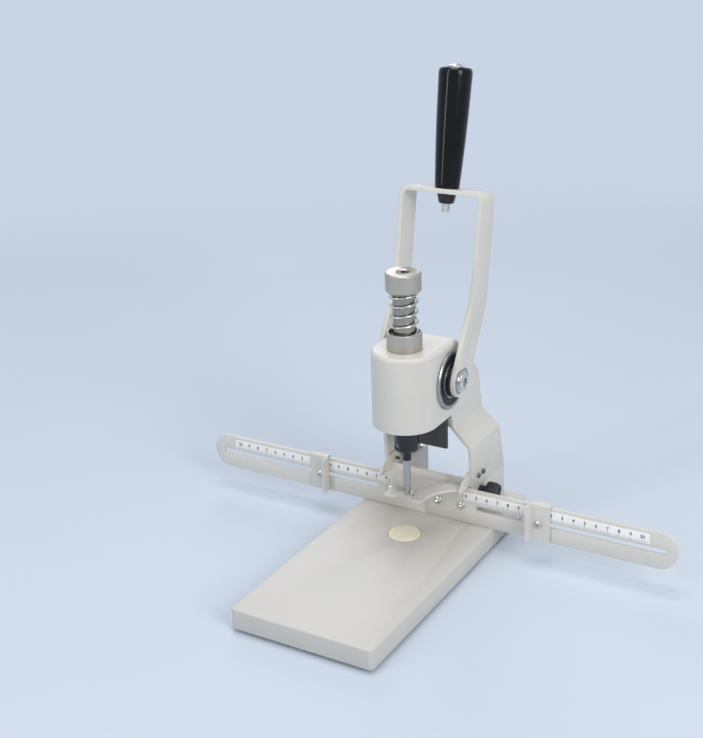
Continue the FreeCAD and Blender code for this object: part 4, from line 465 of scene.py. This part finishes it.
# painted castings and sheets: the width of the broken edge, its segments and the body
paintedPieces = {
    "head_frame": (0.5, 3, "frame"),
    "side_rail_left": (0.5, 2, "frame"), "side_rail_right": (0.5, 2, "frame"),
    "guide_tray": (0.45, 3, "frame"), "lever_yoke": (0.6, 3, "lever"), "fence_carriage": (0.4, 2, "fence"),
    "ruler_arm_left": (0.35, 2, "fence"), "ruler_arm_right": (0.35, 2, "fence"),
    "stop_left": (0.35, 3, "left_stop"), "stop_right": (0.35, 3, "right_stop"),
}
for node, (width, segments, body) in paintedPieces.items():
    place(edged(node, width, segments), body, paint, "grey_paint", node)
guard = {"edge": 0.4}
place(edged("rear_guard", guard["edge"]), "frame", guardPaint, "dark_paint", "rear_guard")
print("painted pieces made")


# lever pivot: bearings, spacers, washers and the socket screws
pivot = {"sides": 128, "bore": 12.52, "width": 15.0, "seal": 1.2, "spacerEdge": 0.3}


def makeBearings():
    low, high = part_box("bearing_outer_rings")
    outer = (high.y - low.y) / 2 / mm
    inner = spot("bearing_inner_rings")
    bore = pivot["bore"]
    land = (inner[2].y - inner[1].y) / 2
    face = high.x / mm
    width = pivot["width"]
    rings, hubs, seals = [], [], []
    for side, turn in ((1, towards["x"]), (-1, towards["-x"])):
        at = (side * (face - width), pivotSpot.y, pivotSpot.z)
        rings.append(lathe("ring", [
            (outer - 3.55, 0.2), (outer - 3.55, 0, 0.1), (outer - 0.9, 0, 0.2), (outer - 0.02, 0.9, 0.4),
            (outer - 0.02, width - 0.9, 0.4), (outer - 0.9, width, 0.35), (outer - 3.0, width, 0.25),
            (outer - 3.55, width - 0.5, 0.1)], at, turn, pivot["sides"]))
        hubs.append(lathe("hub", [
            (bore, 0, 0.2), (land, 0, 0.2), (land, width - 0.1, 0.3), (land - 0.5, width, 0.2),
            (bore + 0.7, width, 0.3), (bore, width - 0.7, 0.3)], at, turn, pivot["sides"]))
        # the hidden inner seal is a plain ring, the outer one has its pressed groove
        top = pivot["seal"]
        plain = [(land + 0.3, 0), (outer - 3.6, 0), (outer - 3.6, top), (land + 0.3, top)]
        grooved = [
            (land + 0.3, 0), (outer - 3.6, 0), (outer - 3.6, top, 0.2), (outer - 5.0, top - 0.15, 0.3),
            (outer - 5.2, top - 0.45, 0.2), (land + 1.9, top - 0.45, 0.2), (land + 1.6, top - 0.1, 0.2),
            (land + 0.3, top - 0.2, 0.1)]
        for level, profile in ((0.5, plain), (width - 0.5 - top, grooved)):
            where = (side * (face - width + level), pivotSpot.y, pivotSpot.z)
            seals.append(lathe("seal", profile, where, turn, pivot["sides"]))
    place(join("bearing_outer_rings_ground", rings), "frame", bearingSteel, "steel", "bearing_outer_rings")
    place(join("bearing_inner_rings_ground", hubs), "lever", bearingSteel, "steel", "bearing_inner_rings")
    place(join("bearing_seals_moulded", seals), "frame", sealRubber, "rubber", "bearing_seals")


makeBearings()
place(edged("shaft_spacers", pivot["spacerEdge"]), "lever", blackPaint, "dark_paint", "shaft_spacers")
armScrew = {"head": 7.25, "high": 2.4, "socket": 6.5, "deep": 1.9, "washer": 0.8, "washerBore": 4.4}


def makeArmScrews():
    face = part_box("arm_screws")[1].x / mm
    screws, washers = [], []
    washerLow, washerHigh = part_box("arm_washers")
    washerRadius = (washerHigh.y - washerLow.y) / 2 / mm
    thick, bore = armScrew["washer"], armScrew["washerBore"]
    for side, turn in ((1, towards["x"]), (-1, towards["-x"])):
        at = (side * (face - armScrew["high"]), pivotSpot.y, pivotSpot.z)
        head = lathe("head", [(0, 0), (armScrew["head"] - 0.3, 0, 0.1), (armScrew["head"], 0.3, 0.2),
                              (armScrew["head"] - 0.2, armScrew["high"] - 0.9, 0.6),
                              (armScrew["head"] - 1.6, armScrew["high"] - 0.1, 0.5),
                              (4.1, armScrew["high"], 0.1), (0, armScrew["high"])], at, turn)
        top = (side * face, pivotSpot.y, pivotSpot.z)
        screws.append(carve(head, hexCutter(armScrew["socket"], armScrew["deep"], top, turn)))
        disc = (side * (washerHigh.x / mm - thick), pivotSpot.y, pivotSpot.z)
        washers.append(lathe("washer", [(bore, 0, 0.1), (washerRadius, 0, 0.15), (washerRadius, thick, 0.3),
                                        (bore, thick, 0.1)], disc, turn))
    place(join("arm_screws_plated", screws), "lever", plated, "bright_steel", "arm_screws")
    place(join("arm_washers_plated", washers), "lever", plated, "bright_steel", "arm_washers")


makeArmScrews()
print("pivot made")


# handle: everything on the stud leans with the yoke
handle = {"lean": 10.5, "length": 100.0, "foot": 10.5, "head": 14.3, "belly": 0.16, "slotTurn": 0.6,
          "nutEdge": 0.35, "studEdge": 0.25}


def makeHandle():
    lean = Matrix.Rotation(math.radians(-handle["lean"]), 4, "X")
    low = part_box("handle_grip")[0]
    along = Vector((0, math.sin(math.radians(handle["lean"])), math.cos(math.radians(handle["lean"]))))
    # the foot circle's lowest point is behind the axis, so the seat is found from it
    seat = Vector((0, 0, low.z / mm + handle["foot"] * along.y * 0.92))
    capLow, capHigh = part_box("grip_cap_screw")
    top = Vector((0, (capLow.y + capHigh.y) / 2 / mm, capHigh.z / mm))
    seat.y = top.y - (top.z - seat.z) * along.y / along.z + 0.1
    length, foot, head = handle["length"], handle["foot"], handle["head"]
    profile = [(4.1, 0), (foot - 0.9, 0, 0.3), (foot, 0.9, 0.6)]
    for k in range(1, 15):
        t = k / 15
        swell = t + handle["belly"] * math.sin(math.pi * t)
        profile.append((foot + (head - foot) * swell - 0.05 * t, 0.9 + (length - 6) * t))
    profile += [(head, length - 5.4, 1.5), (head - 0.35, length - 2.2, 1.2), (head - 1.9, length - 0.3, 1.6),
                (head - 4.2, length, 0.5), (8.3, length, 0.3), (8.0, length - 0.6, 0.2), (4.1, length - 0.6)]
    place(lathe("handle_grip_moulded", profile, seat, lean, 144), "lever", gripPlastic, "black_plastic",
          "handle_grip")
    cap = lathe("grip_cap", [(0, length - 1.2), (7.3, length - 1.2, 0.1), (7.5, length + 0.4, 0.4),
                             (6.9, length + 1.5, 0.5), (5.6, length + 2.1, 0.4), (4.6, length + 2.2, 0.2),
                             (4.3, length + 2.9, 0.3), (0, length + 2.9)], seat, lean)
    slotBox = [Vector((x, y, z)) for x in (-0.6, 0.6) for y in (-5, 5) for z in (length + 1.7, length + 4)]
    twist = Matrix.Rotation(handle["slotTurn"], 4, "Z")
    here = Matrix.Translation(seat * mm) @ lean @ twist @ Matrix.Scale(mm, 4)
    cutter = meshFrom("slot", [here @ p for p in slotBox],
                      [(0, 1, 3, 2), (4, 6, 7, 5), (0, 4, 5, 1), (2, 3, 7, 6), (0, 2, 6, 4), (1, 5, 7, 3)])
    place(carve(cap, cutter), "lever", plated, "bright_steel", "grip_cap_screw")


makeHandle()
place(edged("handle_nut", handle["nutEdge"], 3), "lever", blackened, "black_oxide", "handle_nut")
place(edged("handle_stud", handle["studEdge"]), "lever", plated, "steel", "handle_stud")
print("handle made")


# quill: cap, cup, column, chuck, collar and drill
quill = {"sides": 128, "capShank": 15.1, "capHead": 3.0, "capSocket": 4.0, "columnEdge": 0.2,
         "bushEdge": 0.15}


def makeQuill():
    low, high = spot("top_cap")[1:]
    radius = (high.x - low.x) / 2
    tall = high.z - low.z
    place(lathe("top_cap_turned", [
        (9.4, 0), (radius - 1.9, 0, 0.3), (radius, 1.7, 0.5), (radius, tall - 1.1, 0.5),
        (radius - 1.1, tall, 0.4), (6.0, tall, 0.2), (5.2, tall - 0.5, 0.2), (5.0, tall - 3.4),
        (2.6, tall - 3.4), (2.6, 12), (9.4, 12)], (0, drillSpot.y, low.z), sides=quill["sides"]),
        "quill", capSteel, "steel", "top_cap")
    low, high = spot("spring_cup")[1:]
    radius = (high.x - low.x) / 2
    tall = high.z - low.z - 8
    place(lathe("spring_cup_turned", [
        (9.3, -8), (11.95, -8), (11.95, 0), (radius - 0.5, 0, 0.2), (radius, 0.5, 0.3),
        (radius, tall - 0.8, 0.4), (radius - 0.8, tall, 0.3), (13.6, tall, 0.2), (13.2, tall - 0.4, 0.2),
        (13.2, 1.8), (9.3, 1.8)], (0, drillSpot.y, high.z - tall), sides=quill["sides"]),
        "frame", capSteel, "steel", "spring_cup")
    high = spot("cap_screw")[2]
    shank, head = quill["capShank"], quill["capHead"]
    screw = lathe("cap_screw_head", [(0, 0), (2.45, 0), (2.45, shank), (4.5, shank),
                                     (4.5, shank + head - 0.3, 0.3), (4.2, shank + head, 0.2),
                                     (0, shank + head)], (0, drillSpot.y, high.z - shank - head), sides=64)
    socket = hexCutter(quill["capSocket"], 2.0, (0, drillSpot.y, high.z), towards["z"])
    place(carve(screw, socket), "quill", darkScrew, "black_oxide", "cap_screw")


makeQuill()
place(edged("rack_column", quill["columnEdge"]), "quill", columnSteel, "steel", "rack_column")
place(edged("lower_bush", quill["bushEdge"]), "frame", capSteel, "steel", "lower_bush")
# the bright ring under the chuck's nose, which the photo shows; in the CAD it is part of the chuck
chuck = {"ring": 5.7, "bore": 5.2, "high": 0.9, "lift": 0.05, "edge": 0.25, "screwEdge": 0.15}
drill = {"collarEdge": 0.12, "edge": 0.05}
place(edged("chuck", chuck["edge"], 3), "quill", blackened, "black_oxide", "chuck")
place(edged("chuck_set_screw", chuck["screwEdge"]), "quill", plated, "steel", "chuck_set_screw")
place(lathe("chuck_nose_ring", [(chuck["bore"], 0), (chuck["ring"], 0, 0.15),
                                (chuck["ring"], chuck["high"], 0.1), (chuck["bore"], chuck["high"])],
            (0, drillSpot.y, spot("chuck")[1].z + chuck["lift"])), "quill", plated, "steel")
place(edged("bit_collar", drill["collarEdge"]), "quill", blackened, "black_oxide", "bit_collar")
place(edged("drill_bit", drill["edge"]), "quill", chrome, "bright_steel", "drill_bit")


# return spring: round wire, the last half turn at each end closed up and ground flat like a real one
spring = {"wire": 2.0, "turns": 5.5, "steps": 52, "sides": 14, "closed": 0.5, "flat": 0.12,
          "squeezed": 0.278}


def makeSpring():
    low, high = spot("return_spring")[1:]
    wire = spring["wire"] / 2
    radius = (high.x - low.x) / 2 - wire
    base, top = low.z, high.z
    turns = spring["turns"]
    total = int((turns + 1) * spring["steps"])
    points, faces = [], []
    for i in range(total + 1):
        turn = (turns + 1) * i / total
        free = min(max((turn - spring["closed"]) / turns, 0), 1)
        ease = free * free * (3 - 2 * free) * 0.18 + free * 0.82
        rise = base + wire + (top - base - 2 * wire) * ease
        a = 2 * math.pi * turn
        out = Vector((math.cos(a), math.sin(a), 0))
        for k in range(spring["sides"]):
            b = 2 * math.pi * k / spring["sides"]
            height = rise + wire * math.sin(b)
            height = min(max(height, base + spring["flat"]), top - spring["flat"])
            point = out * (radius + wire * math.cos(b))
            points.append(Vector((point.x, drillSpot.y + point.y, height)) * mm)
    sides = spring["sides"]
    for i in range(total):
        for k in range(sides):
            n = (k + 1) % sides
            faces.append((i * sides + k, i * sides + n, (i + 1) * sides + n, (i + 1) * sides + k))
    faces.append(tuple(range(sides)))
    faces.append(tuple(range(total * sides, total * sides + sides)))
    obj = meshFrom("return_spring_wound", points, faces)
    place(obj, "frame", springSteel, "steel", "return_spring")
    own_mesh(obj)


makeSpring()
print("quill made")


# tray screws: small socket heads, two to each leg
trayScrew = {"head": 2.45, "high": 1.8, "socket": 2.3, "deep": 1.1}


def makeTrayScrews():
    low, high = spot("tray_screws")[1:]
    radius, tall = trayScrew["head"], trayScrew["high"]
    face = high.x
    span = (low.y + radius, high.y - radius)
    z = (low.z + high.z) / 2
    heads = []
    for side, turn in ((1, towards["x"]), (-1, towards["-x"])):
        for y in span:
            head = lathe("head", [(0, -9), (1.45, -9), (1.45, 0), (radius - 0.1, 0, 0.1), (radius, 0.2, 0.1),
                                  (radius - 0.1, tall - 0.3, 0.3), (radius - 0.5, tall, 0.2), (0, tall)],
                         (side * (face - tall), y, z), turn, 48)
            socket = hexCutter(trayScrew["socket"], trayScrew["deep"], (side * face, y, z), turn)
            heads.append(carve(head, socket))
    place(join("tray_screws_blackened", heads), "frame", traySteel, "black_oxide", "tray_screws")


makeTrayScrews()


# pan heads with a cross recess, on the ruler arms and the stops
panHead = {"recess": 0.62, "sides": 64}
rulerScrew = {"high": 1.3, "shank": 1.95, "length": 5.0, "near": 12.3, "twists": (20, 65, 35, 5)}
stopScrew = {"high": 2.0, "shank": 1.98, "twists": {"left": 40, "right": 15}, "nutEdge": 0.35}
legScrew = {"edge": 0.3}


def panScrew(at, turn, radius, high, shank, length, twist):
    head = lathe("head", [(0, -length), (shank, -length), (shank, 0), (radius - 0.15, 0, 0.1),
                          (radius, 0.25, 0.2), (radius - 0.25, high * 0.55, 0.5),
                          (radius * 0.62, high * 0.92, 0.6), (0, high)], at, turn, panHead["sides"])
    lift = Vector(at) + (turn.to_3x3() @ Vector((0, 0, high)))
    return carve(head, *crossCutters(radius * 2 * panHead["recess"], high * 0.95, lift, turn, twist))


def makeRulerScrews():
    centre, low, high = spot("ruler_screws")
    radius = (high.z - low.z) / 2
    heads = []
    far, near, tall = high.x - radius, rulerScrew["near"], rulerScrew["high"]
    for x, twist in zip((-far, -near, near, far), rulerScrew["twists"]):
        heads.append(panScrew((x, low.y + tall, centre.z), towards["-y"], radius, tall,
                              rulerScrew["shank"], rulerScrew["length"], twist))
    place(join("ruler_screws_plated", heads), "fence", plated, "bright_steel", "ruler_screws")


makeRulerScrews()


def makeStopScrews():
    tall = stopScrew["high"]
    for side, twist in stopScrew["twists"].items():
        node = "stop_screw_" + side
        nut = "wing_nut_" + side
        centre, low, high = spot(node)
        radius = (high.z - low.z) / 2
        obj = panScrew((centre.x, low.y + tall, centre.z), towards["-y"], radius, tall,
                       stopScrew["shank"], high.y - low.y - tall, twist)
        place(obj, side + "_stop", plated, "bright_steel", node)
        place(edged(nut, stopScrew["nutEdge"], 3), side + "_wing_nut", plated, "bright_steel", nut)


makeStopScrews()
place(edged("leg_screws", legScrew["edge"], 3), "frame", plated, "steel", "leg_screws")
print("screws made")


# scale strips: a white strip with a tick to each millimetre and a digit to each centimetre
scale = {"first": 40, "last": 200, "short": 1.5, "half": 2.3, "long": 3.1, "line": 0.16, "proud": 0.03,
         "digit": 4.3, "digitLift": 4.2, "tickLift": 0.35, "bold": 0.09, "ink": 0.02,
         "edge": 0.08}


def makeScale(side):
    name = "left" if side < 0 else "right"
    node = "scale_" + name
    place(edged(node, scale["edge"]), "fence", stripPlastic, "scale_plastic", node)
    low = spot(node)[1]
    face = low.y - scale["proud"]
    points, faces = [], []

    def bar(x, z, width, tall):
        start = len(points)
        for y in (face, low.y + scale["ink"]):
            for dx, dz in ((-width / 2, 0), (width / 2, 0), (width / 2, tall), (-width / 2, tall)):
                points.append(Vector((x + dx, y, z + dz)) * mm)
        for quad in ((0, 1, 2, 3), (7, 6, 5, 4), (0, 4, 5, 1), (1, 5, 6, 2), (2, 6, 7, 3), (3, 7, 4, 0)):
            faces.append(tuple(start + q for q in quad))

    for n in range(scale["first"] - 1, scale["last"] + 5):
        tall = scale["long"] if n % 10 == 0 else scale["half"] if n % 5 == 0 else scale["short"]
        wide = scale["line"] * (1.5 if n % 10 == 0 else 1.0)
        bar(side * n, low.z + scale["tickLift"], wide, tall)
    marks = [meshFrom("ticks", points, faces)]
    for n in range(scale["first"] // 10, scale["last"] // 10 + 1):
        letter = bpy.data.curves.new("digit", "FONT")
        letter.body = str(n) if n % 10 == 0 else str(n % 10)
        letter.size = scale["digit"]
        letter.align_x = "CENTER"
        letter.extrude = scale["ink"]
        letter.offset = scale["bold"]
        letter.resolution_u = 3
        holder = link(bpy.data.objects.new("digit", letter))
        graph = bpy.context.evaluated_depsgraph_get()
        mesh = bpy.data.meshes.new_from_object(holder.evaluated_get(graph))
        bpy.data.objects.remove(holder)
        foot = Vector((side * n * 10, face + scale["ink"], low.z + scale["digitLift"])) * mm
        here = Matrix.Translation(foot) @ towards["-y"] @ Matrix.Scale(mm, 4)
        mesh.transform(here)
        marks.append(link(bpy.data.objects.new("digit", mesh)))
    place(join("scale_marks_" + name, marks), "fence", ink, "scale_plastic")


for side in (-1, 1):
    makeScale(side)
print("scales made")


# clamp knob: five rounded lobes with a recessed face, on its plain stud
knob = {"radius": 10.0, "long": 9.5, "lobes": 5, "dip": 0.15, "round": 1.6, "steps": 160, "face": 0.8,
        "studEdge": 0.3}


def makeKnob():
    low, high = spot("clamp_knob")[1:]
    stud = spot("clamp_stud")[0]
    radius = knob["radius"]
    start, finish = high.x - knob["long"], high.x
    soft = knob["round"]
    quarter = [math.pi / 2 * t / 5 for t in range(6)]
    # each ring is (how far in from the lobes, place along the stud)
    rings = [(soft - soft * math.sin(a), start + soft - soft * math.cos(a)) for a in quarter]
    rings += [(soft * (1 - math.cos(a)), finish - soft * (1 - math.sin(a))) for a in quarter]
    rings += [(soft + 1.1, finish), (soft + 1.5, finish - knob["face"] * 0.5),
              (soft + 2.4, finish - knob["face"])]
    points, faces = [], []
    steps = knob["steps"]
    for inset, x in rings:
        for k in range(steps):
            a = 2 * math.pi * k / steps
            lobe = math.cos(a * knob["lobes"])
            out = radius * (1 - knob["dip"] * (0.5 - 0.5 * lobe) ** 1.6) - inset
            up = a + math.pi / 2
            points.append(Vector((x, stud.y + out * math.cos(up), stud.z + out * math.sin(up))) * mm)
    for i in range(len(rings) - 1):
        for k in range(steps):
            n = (k + 1) % steps
            faces.append((i * steps + k, i * steps + n, (i + 1) * steps + n, (i + 1) * steps + k))
    faces.append(tuple(range(steps)))
    faces.append(tuple(range((len(rings) - 1) * steps, len(rings) * steps)))
    body = meshFrom("knob_body", points, faces)
    boss = lathe("knob_boss", [(2.6, 0), (5.0, 0, 0.3), (4.6, 3.0, 1.0), (5.4, 6.0, 1.0), (6.6, 7.3),
                               (2.6, 7.3)], (low.x, stud.y, stud.z), towards["x"], 64)
    place(join("clamp_knob_moulded", [body, boss]), "clamp", knobPlastic, "knob_plastic", "clamp_knob")


makeKnob()
place(edged("clamp_stud", knob["studEdge"]), "clamp", plated, "steel", "clamp_stud")
# pieces hidden in the head keep their own meshes
for node in ("pivot_shaft", "pinion", "pinion_key", "bearing_balls"):
    nodes[node].data.materials.clear()
    nodes[node].data.materials.append(bearingSteel)
print("knob made")


# floor, light and camera
studio = {"floor": "#cdd9e8", "cloud": "#d1dcea", "backdrop": "#c9d5e5", "world": "#eef0f4",
          "worldStrength": 0.45, "fadeFrom": 0.8, "fadeTo": 1.5, "size": 60}


def makeStudio():
    size = studio["size"]
    corners = [Vector((x, y, 0)) for x, y in ((-size, -size), (size, -size), (size, size), (-size, size))]
    ground = meshFrom("floor", corners, [(0, 1, 2, 3)])
    material, tree, shader, where = startMaterial("pale_studio_paper", {"Roughness": 0.85})
    grain = addNode(tree, "ShaderNodeTexNoise", feeds={"Vector": where, "Scale": 3.0, "Detail": 3.0})
    tint = ramp(tree, grain.outputs["Fac"], [(0.3, colour(studio["cloud"])), (0.7, colour(studio["floor"]))])
    tree.links.new(tint, shader.inputs["Base Color"])
    # the paper fades into the backdrop away from the drill, so the picture has one even background
    away = addNode(tree, "ShaderNodeVectorMath", {"operation": "LENGTH"}, {0: where})
    fade = addNode(tree, "ShaderNodeMapRange", {"interpolation_type": "SMOOTHSTEP"},
                   {"Value": away.outputs["Value"], "From Min": studio["fadeFrom"],
                    "From Max": studio["fadeTo"]})
    clear = addNode(tree, "ShaderNodeBsdfTransparent")
    mixed = addNode(tree, "ShaderNodeMixShader", feeds={0: fade.outputs["Result"], 1: shader.outputs["BSDF"],
                                                        2: clear.outputs["BSDF"]})
    tree.links.new(mixed.outputs["Shader"], tree.nodes["Material Output"].inputs["Surface"])
    ground.data.materials.append(material)
    world = bpy.data.worlds.new("studio")
    bpy.context.scene.world = world
    world.use_nodes = True
    tree = world.node_tree
    light = tree.nodes["Background"]
    light.inputs["Color"].default_value = colour(studio["world"])
    light.inputs["Strength"].default_value = studio["worldStrength"]
    backdrop = addNode(tree, "ShaderNodeBackground",
                       feeds={"Color": colour(studio["backdrop"]), "Strength": 1.0})
    path = addNode(tree, "ShaderNodeLightPath")
    seen = addNode(tree, "ShaderNodeMath", {"operation": "MAXIMUM"},
                   {0: path.outputs["Is Camera Ray"], 1: path.outputs["Is Transmission Ray"]})
    seen = addNode(tree, "ShaderNodeMath", {"operation": "MAXIMUM"},
                   {0: seen.outputs["Value"], 1: path.outputs["Is Glossy Ray"]})
    chosen = addNode(tree, "ShaderNodeMixShader",
                     feeds={0: seen.outputs["Value"], 1: light.outputs["Background"],
                            2: backdrop.outputs["Background"]})
    tree.links.new(chosen.outputs["Shader"], tree.nodes["World Output"].inputs["Surface"])


lamps = {
    "key": {"at": (1.6, -0.75, 1.05), "aim": (0, 0, 0.2), "power": 17, "size": 0.8, "tall": 1.1,
            "tint": "#fffaf4"},
    "strip": {"at": (-0.75, -1.35, 0.8), "aim": (0, 0, 0.26), "power": 5, "size": 0.2, "tall": 1.3,
              "tint": "#ffffff"},
    "top": {"at": (-0.1, 0.0, 2.1), "aim": (0, 0, 0.1), "power": 15, "size": 1.0, "tint": "#ffffff"},
    "rim": {"at": (-1.0, 1.5, 1.1), "aim": (0, 0, 0.2), "power": 5, "size": 0.8, "tint": "#f6f8ff"},
}


def makeLamps():
    for name, facts in lamps.items():
        lamp = bpy.data.lights.new(name, "AREA")
        lamp.energy = facts["power"]
        lamp.size = facts["size"]
        if "tall" in facts:
            lamp.shape = "RECTANGLE"
            lamp.size_y = facts["tall"]
        lamp.color = colour(facts["tint"])[:3]
        holder = link(bpy.data.objects.new(name, lamp))
        holder.location = facts["at"]
        ray = Vector(facts["aim"]) - Vector(facts["at"])
        holder.rotation_euler = ray.to_track_quat("-Z", "Y").to_euler()


# the lens and place were worked out from the ruler's centimetre marks and the board's edges in the photo
view = {"lens": 65.28, "at": (0.500565, -0.876104, 0.589168),
        "right": (0.860915, 0.507653, -0.033377), "up": (-0.161973, 0.335695, 0.927941),
        "back": (0.482277, -0.793471, 0.371231)}


def makeCamera():
    camera = bpy.data.cameras.new("photo_view")
    camera.lens = view["lens"]
    camera.sensor_width = 36
    camera.clip_start = 0.01
    camera.clip_end = 200
    holder = link(bpy.data.objects.new("photo_view", camera))
    turn = Matrix((view["right"], view["up"], view["back"])).transposed().to_4x4()
    holder.matrix_world = Matrix.Translation(view["at"]) @ turn
    bpy.context.scene.camera = holder


makeStudio()
makeLamps()
makeCamera()
bpy.context.scene.view_settings.view_transform = "Standard"
print("studio made")
